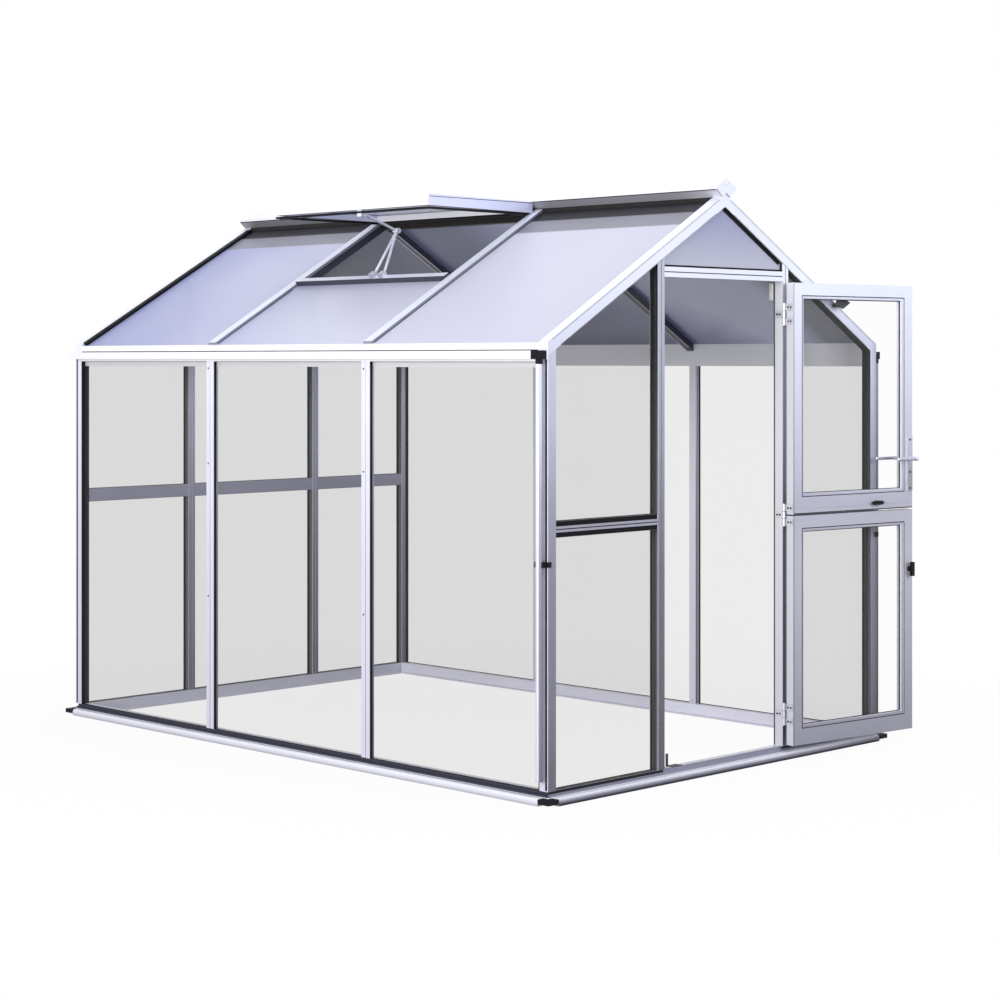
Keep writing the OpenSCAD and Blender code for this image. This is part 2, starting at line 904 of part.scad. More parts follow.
module glazing_seals() {
    s = -seal_t;
    over = (cap_w - box_w) / 2 + seal_t;
    color([0.04, 0.04, 0.05]) {
        for (i = [0:3])
            both_ends()
                gable_seal(end_bay_pts(i, -0.1), end_bay_pts(i, s), glass_t);
        gable_seal(top_pts(-0.1), top_pts(s), sheet_t);
        for (i = [0:1])
            mirror([0, 1, 0])
                gable_seal(mid_bay_pts(i, -0.1), mid_bay_pts(i, s), glass_t);
        both_sides()
            for (i = [0:2])
                difference() {
                    yz_prism(side_pts(i, -0.1), -half + 2, -half + glass_in - pane_gap);
                    yz_prism(box_pts(side_lo(i) + over, side_hi(i) - over, sill_h + seal_t,
                        wall_top - seal_t, 0), -half, -half + glass_in);
                    for (y = bar_ys)
                        box([-half - 1, y - cap_w / 2 - 0.1, 0],
                            [-half + glass_in + 1, y + cap_w / 2 + 0.1, ridge_z]);
                }
    }
}

// Hook on the right front rafter that holds the upper leaf back
module door_catch() {
    z = roof_under(catch_x) + rafter_v;
    head = 12;
    color([0.2, 0.2, 0.23]) {
        box([catch_x - 22, front - catch_out, z - 18], [catch_x + 10, front - pane_gap, z - 2]);
        xz_prism([[catch_x - 40, z - 6], [catch_x - 30, z + head], [catch_x + 26, z + head],
            [catch_x + 52, z + 2], [catch_x + 4, z - 2 * head]],
            front - catch_out, front - catch_out + head);
    }
}

// Small angle on the sill beside the left jamb, behind the closed leaf
module sill_bracket() {
    x = -door_half + bracket_x;
    y = front + axis_out + leaf_t - 2;
    color([0.45, 0.45, 0.5]) {
        box([x, front + sill_set + 4, sill_h], [x + 60, y + 2, sill_h + 2]);
        box([x, y, sill_h], [x + 14, y + 2, sill_h + 48]);
    }
}

// Swings a piece of the door from the closed to the open place
module swung() {
    translate([axis_x, axis_y, 0])
        rotate([0, 0, open_deg])
            children();
}

// Middle plates, knuckles and pins of the hinges, fixed to the right jamb
module jamb_hinges() {
    color([0.75, 0.75, 0.8])
        translate([axis_x, axis_y, 0])
            for (z = hinge_zs) {
                box([-plate_t, 0, z - plate_h / 2 + 0.5],
                    [-0.1, axis_out + 36, z + plate_h / 2 - 0.5]);
                translate([0, 0, z - plate_h / 2 + 0.5])
                    cylinder(h = plate_h - 1, r = knuckle_r, $fn = 48);
                translate([0, 0, z - plate_h * 1.5])
                    cylinder(h = plate_h * 3, r = pin_r, $fn = 48);
            }
}

// One leaf-side hinge plate with its knuckle, from z upward
module leaf_plate(z) {
    difference() {
        union() {
            box([leaf_near + 0.1, 0, z], [leaf_near + plate_t, face_in - 3, z + plate_h]);
            translate([0, 0, z])
                cylinder(h = plate_h, r = knuckle_r, $fn = 48);
        }
        translate([0, 0, z - 1])
            cylinder(h = plate_h + 2, r = pin_r + run_gap, $fn = 48);
    }
}

module upper_leaf_hinges() {
    color([0.75, 0.75, 0.8])
        swung() {
            leaf_plate(hinge_zs[0] + plate_h / 2);
            leaf_plate(hinge_zs[0] - plate_h * 1.5);
            leaf_plate(hinge_zs[1] + plate_h / 2);
        }
}

module lower_leaf_hinges() {
    color([0.75, 0.75, 0.8])
        swung() {
            leaf_plate(hinge_zs[1] - plate_h * 1.5);
            leaf_plate(hinge_zs[2] + plate_h / 2);
            leaf_plate(hinge_zs[2] - plate_h * 1.5);
        }
}

// Glass of one leaf, grown by g in its plane and by e through its thickness
module leaf_pane(z0, z1, g, e) {
    y = face_out + (leaf_t - glass_t) / 2;
    box([leaf_far + stile_w - bite - g, y - e, z0 - bite - g],
        [leaf_near - stile_w + bite + g, y + glass_t + e, z1 + bite + g]);
}

// Frame of one leaf around a clear opening from z0 to z1
module leaf_frame(lo, hi, z0, z1) {
    difference() {
        box([leaf_far, face_out, lo], [leaf_near, face_in, hi]);
        box([leaf_far + stile_w, 0, z0], [leaf_near - stile_w, face_in + 1, z1]);
        leaf_pane(z0, z1, pane_gap, pane_gap);
    }
}

// A hole through a leaf's free stile for a spindle
module spindle_hole(z) {
    translate([spindle_x, face_in + 20, z])
        rotate([90, 0, 0])
            cylinder(h = leaf_t + 40, r = spindle_r + run_gap, $fn = 48);
}

module upper_leaf_frame() {
    lap_z = upper_lo + 22;
    color([0.84, 0.85, 0.93])
        swung()
            difference() {
                leaf_frame(upper_lo, upper_hi, upper_lo + lap_rail_h, upper_hi - stile_w);
                spindle_hole(lever_z);
                box([leaf_far - 1, face_in - groove_d, lap_z - 1],
                    [leaf_near + 1, face_in + 1, lap_z + 1]);
                translate([-latch_u, face_in + 1, split_z + latch_up])
                    rotate([90, 0, 0])
                        cylinder(h = 15, r = spindle_r + run_gap, $fn = 48);
            }
}

module lower_leaf_frame() {
    color([0.8, 0.81, 0.9])
        swung()
            difference() {
                leaf_frame(lower_lo, lower_hi, lower_lo + kick_rail_h, lower_hi - stile_w);
                spindle_hole(knob_z);
            }
}

module upper_leaf_glass() {
    color([0.9, 0.9, 0.92, 0.3])
        swung()
            leaf_pane(upper_lo + lap_rail_h, upper_hi - stile_w, 0, 0);
}

module lower_leaf_glass() {
    color([0.9, 0.9, 0.92, 0.3])
        swung()
            leaf_pane(lower_lo + kick_rail_h, lower_hi - stile_w, 0, 0);
}

// Long plates under the levers, one on each face of the upper leaf
module handle_plates() {
    color([0.86, 0.87, 0.94])
        swung()
            difference() {
                for (y = [face_out - rose_t - 0.1, face_in + 0.1])
                    box([spindle_x - rose_half, y, lever_z - rose_down],
                        [spindle_x + rose_half, y + rose_t, lever_z + rose_up]);
                spindle_hole(lever_z);
            }
}

// Grip of one lever, pointing to the hinge side, with its neck toward the leaf
module lever_side(y_plate, y_grip) {
    translate([spindle_x, max(y_plate, y_grip), lever_z])
        rotate([90, 0, 0])
            cylinder(h = abs(y_grip - y_plate), r = neck_r, $fn = 32);
    translate([spindle_x, y_grip, lever_z])
        sphere(r = neck_r, $fn = 32);
    translate([spindle_x, y_grip, lever_z])
        rotate([0, 90, 0])
            cylinder(h = grip_len, r = grip_r, $fn = 32);
    translate([spindle_x + grip_len, y_grip, lever_z])
        sphere(r = grip_r, $fn = 32);
}

module lever_handle() {
    out_plate = face_out - rose_t - 0.1 - 0.6;
    in_plate = face_in + 0.1 + rose_t + 0.6;
    color([0.78, 0.78, 0.84])
        swung() {
            lever_side(out_plate, out_plate - grip_off);
            lever_side(in_plate, in_plate + grip_off);
            translate([spindle_x, in_plate + 1, lever_z])
                rotate([90, 0, 0])
                    cylinder(h = in_plate - out_plate + 2, r = spindle_r, $fn = 48);
        }
}

// Black turn latch on the bottom rail of the upper leaf, a lozenge on a round boss
module middle_latch() {
    z = split_z + latch_up;
    color([0.05, 0.05, 0.06])
        swung() {
            translate([-latch_u, face_in + 18, z])
                rotate([90, 0, 0])
                    linear_extrude(12)
                        polygon([[-33, 0], [-22, 8], [22, 8], [33, 0], [22, -8], [-22, -8]]);
            translate([-latch_u, face_in + 18, z])
                rotate([90, 0, 0])
                    cylinder(h = 17.4, r = neck_r, $fn = 32);
            translate([-latch_u, face_in + 2, z])
                rotate([90, 0, 0])
                    cylinder(h = 12, r = spindle_r, $fn = 48);
        }
}

// Black thumb turn of the lower leaf with a small rose on each face
module lower_leaf_knob() {
    color([0.05, 0.05, 0.06])
        swung() {
            translate([spindle_x, face_in + 14, knob_z])
                rotate([90, 0, 0])
                    cylinder(h = 13.4, r = 11, $fn = 32);
            box([spindle_x - 9, face_in + 13, knob_z - 30], [spindle_x + 9, face_in + 25, knob_z + 30]);
            translate([spindle_x, face_in + 2, knob_z])
                rotate([90, 0, 0])
                    cylinder(h = leaf_t + 4, r = spindle_r, $fn = 48);
            translate([spindle_x, face_out - 0.6, knob_z])
                rotate([90, 0, 0])
                    cylinder(h = 8, r = 11, $fn = 32);
        }
}

sill_front();
sill_back();
sills_side();
sill_corners();
corner_posts();
side_posts();
eave_rails();
gutters();
gutter_outlets();
downpipes();
downpipe_clips();
rafters();
roof_bars();
ridge_beam();
ridge_cap();
ridge_end_plates();
vent_trimmer();
vent_sash();
vent_pane();
vent_opener();
door_jambs();
rear_posts();
door_header();
midrails();
glass_left();
glass_right();
glass_front();
glass_back();
gable_panel();
roof_panels_left();
roof_panels_right();
glazing_seals();
door_catch();
sill_bracket();
jamb_hinges();
upper_leaf_frame();
upper_leaf_glass();
upper_leaf_hinges();
handle_plates();
lever_handle();
middle_latch();
lower_leaf_frame();
lower_leaf_glass();
lower_leaf_hinges();
lower_leaf_knob();
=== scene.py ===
# %% [markdown]
# # A small glass greenhouse
# The building is an assembly of aluminium bars, clear panes, twin-wall roof sheets and a stable
# door. Its construction comes packed from the CAD model, so this lesson gives every bar, pane and
# fitting its finish and adds the small hardware: screws, seals, beads, washers and caps.
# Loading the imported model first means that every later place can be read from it.

# %% Load the frame
import json
import math

import bmesh
import bpy
from mathutils import Matrix, Vector


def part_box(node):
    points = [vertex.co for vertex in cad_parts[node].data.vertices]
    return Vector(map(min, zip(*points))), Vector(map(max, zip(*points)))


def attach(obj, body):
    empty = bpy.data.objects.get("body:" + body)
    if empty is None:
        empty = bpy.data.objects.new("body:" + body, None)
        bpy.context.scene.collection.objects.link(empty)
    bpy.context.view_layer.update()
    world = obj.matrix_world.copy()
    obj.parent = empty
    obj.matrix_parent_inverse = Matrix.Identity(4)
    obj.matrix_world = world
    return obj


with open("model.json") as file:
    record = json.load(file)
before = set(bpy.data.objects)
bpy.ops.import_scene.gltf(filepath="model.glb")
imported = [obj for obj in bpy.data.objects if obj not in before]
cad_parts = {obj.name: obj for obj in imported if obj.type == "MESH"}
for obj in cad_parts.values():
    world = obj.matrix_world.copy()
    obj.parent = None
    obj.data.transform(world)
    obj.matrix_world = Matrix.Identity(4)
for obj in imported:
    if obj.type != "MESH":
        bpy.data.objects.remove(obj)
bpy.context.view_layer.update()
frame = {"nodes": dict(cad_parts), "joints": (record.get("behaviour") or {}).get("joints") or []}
nodes = frame["nodes"]
joints = {joint["name"]: joint for joint in frame["joints"]}

# %% [markdown]
# ## Places that the pieces share
# The posts, sills and roof sheets tell where the walls and slopes lie. They could be typed in as
# numbers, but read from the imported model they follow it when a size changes.

# %% Read the main places of the house
def middle(values):
    return (min(values) + max(values)) / 2


low_post, high_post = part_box("corner_posts")
HALF = high_post.x
FRONT = low_post.y
BACK = high_post.y
SILL_TOP = low_post.z
DOOR_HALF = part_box("door_header")[1].x
JAMB_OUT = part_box("door_jambs")[1].x
POST_Y = round(middle([v.co.y for v in nodes["side_posts"].data.vertices if v.co.y > 0]), 4)


def roof_face(side):
    """The sheets' mesh and outer face on the left slope, -1, or the right one, 1."""
    mesh = nodes["roof_panels_left" if side < 0 else "roof_panels_right"].data
    upward = [face for face in mesh.polygons if face.normal.z > 0.5]
    return mesh, max(upward, key=lambda face: face.area)


roof_mesh, right_face = roof_face(1)
PITCH = right_face.normal.x / right_face.normal.z
SHEET_TOP = max(v.co.z + abs(v.co.x) * PITCH for v in roof_mesh.vertices)
RIDGE_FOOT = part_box("ridge_beam")[0].z
print("walls", round(2 * HALF, 3), "by", round(BACK - FRONT, 3), "pitch", round(PITCH, 4))

# %% [markdown]
# ## The open door
# The door leaves stand open. What sits on them is built as if they were closed, with the hinge
# axis at the origin, and is then turned with `LEAF` to where they stand, because a closed leaf
# lies square and its edges are easy to read.

# %% Read the places of the door
PIN_HALF = 0.0435
hinge_point = Vector(joints["upper_leaf_hinge"]["pos_m"])
out = Vector(joints["lever_turn"]["axis"])
LEAF = (Matrix.Translation((hinge_point.x, hinge_point.y, 0))
        @ Matrix.Rotation(math.atan2(-out.x, out.y), 4, "Z"))


def closed_box(node):
    """Lowest and highest corner of a node on a leaf, as if the leaf were closed."""
    back = LEAF.inverted()
    points = [back @ vertex.co for vertex in nodes[node].data.vertices]
    low = Vector([min(point[i] for point in points) for i in range(3)])
    high = Vector([max(point[i] for point in points) for i in range(3)])
    return low, high


leaf_low, leaf_high = closed_box("upper_leaf_frame")
pin_low, pin_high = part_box("jamb_hinges")
leaves_meet = middle([closed_box("lower_leaf_frame")[1].z, leaf_low.z])
hinge_heights = [pin_high.z - PIN_HALF, leaves_meet, pin_low.z + PIN_HALF]
print("closed leaf from", tuple(round(v, 3) for v in leaf_low))
print("to", tuple(round(v, 3) for v in leaf_high))

# %% [markdown]
# ## Writing materials as sums
# A node tree is easier to read as arithmetic. `Value` wraps a number socket, so that `1 - mask`
# or `noise * 0.2` adds the Math node it needs. `NodeTree` adds any other node from its type, its
# settings and its inputs, for a material or for the world.

# %% Numbers and nodes
class Value:
    """A number inside a node tree."""

    def __init__(self, owner, socket):
        self.owner = owner
        self.socket = socket

    def math(self, operation, *others, first=None):
        terms = [self, *others] if first is None else [first, self]
        node = self.owner.node("ShaderNodeMath", {"operation": operation}, terms)
        return Value(self.owner, node.outputs[0])

    def __add__(self, other):
        return self.math("ADD", other)

    __radd__ = __add__

    def __sub__(self, other):
        return self.math("SUBTRACT", other)

    def __rsub__(self, other):
        return self.math("SUBTRACT", first=other)

    def __mul__(self, other):
        return self.math("MULTIPLY", other)

    __rmul__ = __mul__

    def __truediv__(self, other):
        return self.math("DIVIDE", other)

    def __rtruediv__(self, other):
        return self.math("DIVIDE", first=other)

    def __neg__(self):
        return self * -1

    def clamp(self):
        node = self.owner.node("ShaderNodeClamp", {}, [self, 0.0, 1.0])
        return Value(self.owner, node.outputs[0])

    def size(self):
        return self.math("ABSOLUTE")

    def above(self, limit, soft):
        """0 below limit and 1 above it, with a soft step."""
        return ((self - limit) / soft + 0.5).clamp()

    def ramp(self, low, high):
        """0 at low and 1 at high, straight between them."""
        return ((self - low) / (high - low)).clamp()


class NodeTree:
    """A node tree whose nodes come from short calls."""

    def __init__(self, tree):
        self.tree = tree

    def link(self, source, socket):
        if isinstance(source, Value):
            source = source.socket
        if isinstance(source, bpy.types.NodeSocket):
            self.tree.links.new(source, socket)
        else:
            socket.default_value = source

    def node(self, kind, settings, values):
        node = self.tree.nodes.new(kind)
        for key, value in settings.items():
            setattr(node, key, value)
        pairs = values.items() if isinstance(values, dict) else enumerate(values)
        for key, value in pairs:
            self.link(value, node.inputs[key])
        return node


def tint(colour, factor=1.0):
    """A colour made lighter or darker, with full alpha."""
    return (*[min(1.0, part * factor) for part in colour], 1.0)


print("numbers and nodes ready")

# %% [markdown]
# ## One finish, one material
# `Finish` makes a material around a Principled shader. Every pattern reads Object coordinates,
# because each piece keeps its place in its mesh, so a pattern runs on from bar to bar.

# %% The finish helper
class Finish(NodeTree):
    """One material: a Principled shader and the patterns that feed it."""

    def __init__(self, name, **plain):
        self.material = bpy.data.materials.new(name)
        self.material.use_nodes = True
        super().__init__(self.material.node_tree)
        self.shader = self.tree.nodes["Principled BSDF"]
        for key, value in plain.items():
            self.set(key.replace("_", " ").title().replace("Ior", "IOR"), value)

    def set(self, name, value):
        """Gives the shader's own socket a number, a colour or a link."""
        self.link(value, self.shader.inputs[name])

    def place(self):
        """Object coordinates as a vector socket."""
        return self.node("ShaderNodeTexCoord", {}, {}).outputs["Object"]

    def axis(self, index):
        split = self.node("ShaderNodeSeparateXYZ", {}, [self.place()])
        return Value(self, split.outputs[index])

    def facing(self, index):
        """How far the surface faces along an axis, from -1 to 1."""
        normal = self.node("ShaderNodeNewGeometry", {}, {}).outputs["True Normal"]
        return Value(self, self.node("ShaderNodeSeparateXYZ", {}, [normal]).outputs[index])

    def noise(self, scale, stretch=(1, 1, 1), detail=2.0):
        mapped = self.node("ShaderNodeMapping", {}, {"Vector": self.place(), "Scale": stretch})
        node = self.node("ShaderNodeTexNoise", {}, {
            "Vector": mapped.outputs[0], "Scale": scale, "Detail": detail})
        return Value(self, node.outputs["Fac"])

    def blend(self, factor, first, second):
        """A colour between two colours or colour sockets."""
        return self.node("ShaderNodeMix", {"data_type": "RGBA"}, {
            "Factor": factor, 6: first, 7: second}).outputs[2]

    def stops(self, factor, colours):
        """A colour that runs through several (position, colour) stops."""
        node = self.node("ShaderNodeValToRGB", {}, [factor])
        ramp = node.color_ramp
        while len(ramp.elements) < len(colours):
            ramp.elements.new(0.5)
        for element, (position, colour) in zip(ramp.elements, colours):
            element.position = position
            element.color = tint(colour)
        return node.outputs[0]

    def bump(self, height, distance, strength):
        node = self.node("ShaderNodeBump", {}, {
            "Strength": strength, "Distance": distance, "Height": height})
        self.set("Normal", node.outputs[0])


print("finish helper ready")

# %% [markdown]
# ## Anodised aluminium
# The bars are extruded and satin anodised: pale with a touch of lavender, with faint draw lines
# along each bar and cloudy anodising. The gable bars grow greyer toward the ground as painted
# shade, and the side faces are painted lighter than the gable faces, as painted light from the
# left. Undersides and grooves are the darkest, with painted shade. Draw lines run along the bar,
# so the noise is squeezed across it. The tones could be one flat colour, but stops by height paint
# the shaded foot and the lit top of the same bar.

# %% Tones of the aluminium
ALONG = {"x": (0.5, 90, 90), "y": (90, 0.5, 90), "z": (90, 90, 0.5), "any": (60, 60, 60)}
# Painted light and shade: each bar is lit at the top and shaded at the foot, and the gable faces
# are painted darker than the side faces.
GABLE_SHADING_TONES = [(0.0, (0.15, 0.15, 0.19)), (0.15, (0.21, 0.21, 0.26)), (0.4, (0.27, 0.27, 0.34)),
               (0.52, (0.36, 0.36, 0.45)), (0.74, (0.58, 0.60, 0.76)), (1.0, (0.80, 0.83, 0.97))]
LEAF_SHADING_TONES = [(0.0, (0.26, 0.26, 0.32)), (0.15, (0.34, 0.34, 0.41)), (0.4, (0.45, 0.45, 0.53)),
              (0.52, (0.42, 0.42, 0.52)), (0.74, (0.58, 0.60, 0.74)), (1.0, (0.74, 0.77, 0.93))]
SIDE_SHADING_TONES = [(0.0, (0.60, 0.59, 0.70)), (0.4, (0.68, 0.67, 0.78)), (0.75, (0.80, 0.81, 0.94)),
              (1.0, (0.88, 0.89, 0.98))]
GUTTER_TONES = [(0.0, (0.88, 0.88, 0.94)), (1.0, (0.93, 0.93, 0.97))]
SASH_TONES = [(0.0, (0.58, 0.61, 0.86)), (1.0, (0.62, 0.65, 0.88))]
RIB_TONES = [(0.0, (0.9, 0.9, 0.95)), (1.0, (0.9, 0.9, 0.95))]
HINGE_TONES = [(0.0, (0.3, 0.3, 0.36)), (1.0, (0.5, 0.5, 0.58))]
PLATE_TONES = [(0.0, (0.3, 0.3, 0.36)), (0.6, (0.3, 0.3, 0.36)), (0.66, (0.52, 0.53, 0.65)),
               (1.0, (0.6, 0.6, 0.75))]
NAVY = (0.035, 0.035, 0.055)
DEEP_BLACK = (0.002, 0.002, 0.005)
GROOVE = (0.0012, 0.0075)
POST_WIDTH = 0.05
GABLE_END = 1.4
print("tones for", len(ALONG), "directions")

# %% [markdown]
# ## Shade on the bars
# A bar's nose stands at the wall plane and the faces beside it are set back, where painted shade
# keeps them dark. Posts in a corner get the painted shade of their neighbours. Masks of depth and
# direction pick these faces, so that no mesh has to be cut for the painted shade.

# %% Shaded parts of bars and posts
def set_back(metal, colour, tone):
    """Paints shade on what lies as deep behind the wall planes as a groove."""
    start, end = GROOVE
    level = 1 - metal.facing(2).size().above(0.5, 0.1)
    for index, plane in ((0, HALF), (1, -FRONT)):
        behind = plane - metal.axis(index).size()
        looks_out = (metal.axis(index) * metal.facing(index)).above(0.3, 0.1)
        band = behind.above(start, 0.0004) * (1 - behind.above(end, 0.0004))
        colour = metal.blend(band * looks_out * level, colour, tint(tone))
    return colour


def shade_posts(metal, colour, on_gable, height, lit):
    """Darkens the rear left corner, the front right reveal and the bars left of the door."""
    to_left = -metal.axis(0)
    left_end = to_left.above(HALF - POST_WIDTH, 0.001)
    right_end = metal.axis(0).above(HALF - POST_WIDTH, 0.001)
    front_end = (-metal.axis(1)).above(GABLE_END, 0.01)
    rear_corner = left_end * on_gable * metal.axis(1).above(0.0, 0.1)
    front_reveal = right_end * front_end * (1 - on_gable) * lit
    colour = metal.blend((rear_corner + front_reveal).clamp(), colour, tint(NAVY, 0.7))
    left_jamb = to_left.above(DOOR_HALF - 0.002, 0.001) * (
        1 - to_left.above(JAMB_OUT + 0.002, 0.001))
    shaded = on_gable * front_end * (left_jamb * 0.4 + left_end * height * 0.2)
    return metal.blend(shaded.clamp(), colour, tint(NAVY))


def drawn(metal, colour, lines, roughness=0.4, spread=0.15):
    """Sets the colour, and lets the draw lines show in roughness and bump."""
    metal.set("Base Color", colour)
    metal.set("Roughness", (lines - 0.5) * spread + roughness)
    metal.bump(lines, 0.00012, 0.4)
    return metal.material


print("shade ready")

# %% [markdown]
# ## The aluminium bars
# One function makes the finish of every bar. It takes the direction in which the bar was drawn,
# the painted light and shade of its gable and side faces, how dark the painted shade on its
# underside is and how shiny it is. Faces on the right half that look into the room get painted
# light, as if washed by daylight through the left wall.

# %% Finishes of the bars
def aluminium(name, run, gable=GABLE_SHADING_TONES, side=SIDE_SHADING_TONES, below=0.85, recess_shade=None,
              post=False, metallic=0.12, roughness=0.4, shine=0.5):
    """Satin anodised metal with painted light and shade by height on gable faces and on side
    faces.
    """
    metal = Finish(name, metallic=metallic, specular_ior_level=shine)
    lines = metal.noise(6.0, ALONG[run], detail=3.0)
    clouds = metal.noise(3.0)
    height = metal.axis(2).ramp(0.05, 1.95) + (lines - 0.5) * 0.1 + (clouds - 0.5) * 0.12
    height = height.clamp()
    on_gable = metal.facing(1).size().above(0.6, 0.2)
    colour = metal.blend(on_gable, metal.stops(height, side), metal.stops(height, gable))
    # Painted shade on the faces that look down.
    under = (-metal.facing(2)).above(0.45, 0.5)
    colour = metal.blend(under * below, colour, tint(NAVY, 1.6))
    # Painted shade on the faces set back in grooves and recesses.
    if recess_shade:
        colour = set_back(metal, colour, recess_shade)
    lit = metal.axis(0).above(0.0, 0.1) * (-metal.facing(0)).above(0.6, 0.2)
    washed = metal.blend(height, tint((0.68, 0.68, 0.75)), tint((0.95, 0.95, 1.0)))
    colour = metal.blend(lit * 0.85, colour, washed)
    if post:
        colour = shade_posts(metal, colour, on_gable, height, lit)
    return drawn(metal, colour, lines, roughness, 0.16)


bar_metal = aluminium("anodised bar across", "x", recess_shade=NAVY, shine=0.2)
midrail_metal = aluminium("anodised midrail", "x", recess_shade=DEEP_BLACK, shine=0.1)
post_metal = aluminium("anodised post", "z", recess_shade=NAVY, post=True, shine=0.2)
side_post_metal = aluminium("anodised side post", "z")
rib_metal = aluminium("pale rib", "x", RIB_TONES, RIB_TONES, below=0.0)
sash_metal = aluminium("sash bar", "y", SASH_TONES, GUTTER_TONES, below=0.6)
gutter_metal = aluminium("gutter", "y", GUTTER_TONES, GUTTER_TONES, below=0.5)
leaf_metal = aluminium("door leaf", "z", LEAF_SHADING_TONES)
fitting_metal = aluminium("plated fitting", "any", metallic=0.6, roughness=0.28)
hinge_metal = aluminium("hinge", "z", HINGE_TONES, HINGE_TONES, metallic=0.4, roughness=0.3)
plate_metal = aluminium("handle plate", "z", PLATE_TONES, metallic=0.3, roughness=0.3)
print("bar finishes made")

# %% [markdown]
# ## Roof bars, ridge cap and trimmer
# A roof bar's cap faces the sky and is pale with painted light. Its sides look down or along the
# slope and are dark with painted shade, a little less where they rise above the sheets. The ridge
# cap's top has painted light, and its sides carry painted shade that grows greyer toward the rear
# end.

# %% Finishes of the roof metal
def dark_sided(name, run, limit, over_sheet_shade=None):
    """Pale metal with painted shade on the faces that look away from the sky, less above the
    sheets.
    """
    metal = Finish(name, metallic=0.1)
    lines = metal.noise(6.0, ALONG[run], detail=3.0)
    clouds = metal.noise(3.0)
    pale = metal.blend(clouds, tint((0.72, 0.74, 0.9)), tint((0.84, 0.86, 0.97)))
    sky_side = metal.facing(2).above(limit, 0.1)
    dark = metal.blend(lines, tint(NAVY, 0.6), tint(NAVY, 1.8))
    if over_sheet_shade:
        height = metal.axis(2) + metal.axis(0).size() * PITCH
        dark = metal.blend(height.above(SHEET_TOP + 0.0005, 0.001), dark, tint(over_sheet_shade))
    return drawn(metal, metal.blend(sky_side, dark, pale), lines)


def ridge_cap_finish(name):
    metal = Finish(name, metallic=0.1)
    lines = metal.noise(6.0, ALONG["y"], detail=3.0)
    # Painted shade on the cap's sides, lighter toward the front end, and painted light on its top.
    along = metal.axis(1).ramp(1.5, -1.5) + (lines - 0.5) * 0.2
    sides = metal.stops(along.clamp(), [(0.0, (0.26, 0.26, 0.29)), (0.6, (0.28, 0.28, 0.31)),
                                        (0.93, (0.36, 0.36, 0.4)), (1.0, (0.7, 0.7, 0.78))])
    top = metal.facing(2).above(-0.2, 0.1)
    return drawn(metal, metal.blend(top, sides, tint((0.9, 0.9, 0.95))), lines)


roof_bar_metal = dark_sided("roof bar", "x", 0.3, (0.24, 0.25, 0.33))
trimmer_metal = dark_sided("vent trimmer", "y", 0.2)
ridge_metal = ridge_cap_finish("ridge cap")
print("roof metal finishes made")

# %% [markdown]
# ## The sill
# The sill's rounded nose has painted light on top and painted shade where it turns under. Above
# the nose the outside is nearly black with painted shade. On the gable sills the slanted step and
# the doorway are paler, with less of that painted shade. Inside the room the sill is grey, with
# painted light on the faces that look to the left, and every top face gets painted light.

# %% Finish of the sills
NOSE_H = 0.028
STEP_TOP = 0.0395
SET_BACK = 0.0125


def sill_finish(name):
    metal = Finish(name, metallic=0.0, specular_ior_level=0.15)
    lines = metal.noise(6.0, (4, 4, 90), detail=3.0)
    clouds = metal.noise(3.0)
    up = metal.axis(2)
    # Painted light and shade on the nose: light at its top, shade where it turns under.
    nose = metal.stops(((up / NOSE_H) + (lines - 0.5) * 0.15).clamp(), [
        (0.0, (0.34, 0.34, 0.4)), (0.35, (0.6, 0.6, 0.68)), (0.7, (0.72, 0.72, 0.8)),
        (1.0, (0.9, 0.9, 0.96))])
    gable_nose = metal.stops((up / NOSE_H).clamp(), [
        (0.0, (0.02, 0.02, 0.035)), (0.25, (0.03, 0.03, 0.05)), (0.36, (0.14, 0.14, 0.18)),
        (0.6, (0.26, 0.26, 0.33)), (0.8, (0.56, 0.56, 0.66)), (1.0, (0.74, 0.74, 0.84))])
    to_gable = metal.facing(1).size().above(0.5, 0.3)
    past_wall = metal.axis(1).size().above(BACK + 0.001, 0.001)
    nose = metal.blend(to_gable * past_wall, nose, gable_nose)
    room_side = metal.blend(clouds, tint((0.46, 0.46, 0.54)), tint((0.58, 0.58, 0.67)))
    # Painted light on the room-side faces that look to the left.
    room_side = metal.blend((-metal.facing(0)).above(0.5, 0.2), room_side,
                            tint((0.84, 0.83, 0.93)))
    outward = metal.axis(0) * metal.facing(0) + metal.axis(1) * metal.facing(1)
    colour = metal.blend(outward.above(0.0, 0.2), room_side, nose)
    # Painted light on the top faces.
    top = metal.facing(2).above(0.8, 0.2)
    colour = metal.blend(top, colour, tint((0.82, 0.82, 0.9)))
    # Painted shade on the set-back faces above the nose, less on the gable sills' step and
    # doorway.
    across = (metal.axis(0).size() - (HALF - SET_BACK)).math(
        "MAXIMUM", metal.axis(1).size() - (-FRONT - SET_BACK))
    above_nose = across.above(0.0, 0.0005) * up.above(NOSE_H + 0.0005, 0.001)
    on_gable = to_gable * metal.axis(1).size().above(BACK - 0.02, 0.001)
    doorway = 1 - metal.axis(0).size().above(DOOR_HALF, 0.001)
    step = 1 - up.above(STEP_TOP, 0.0005)
    deep = metal.blend(on_gable, tint(NAVY, 1.1), tint((0.004, 0.004, 0.012)))
    band = metal.blend((on_gable * (step + doorway)).clamp(), deep, tint((0.24, 0.24, 0.32)))
    return drawn(metal, metal.blend(above_nose, colour, band), lines)


sill_metal = sill_finish("sill")
print("sill finish made")

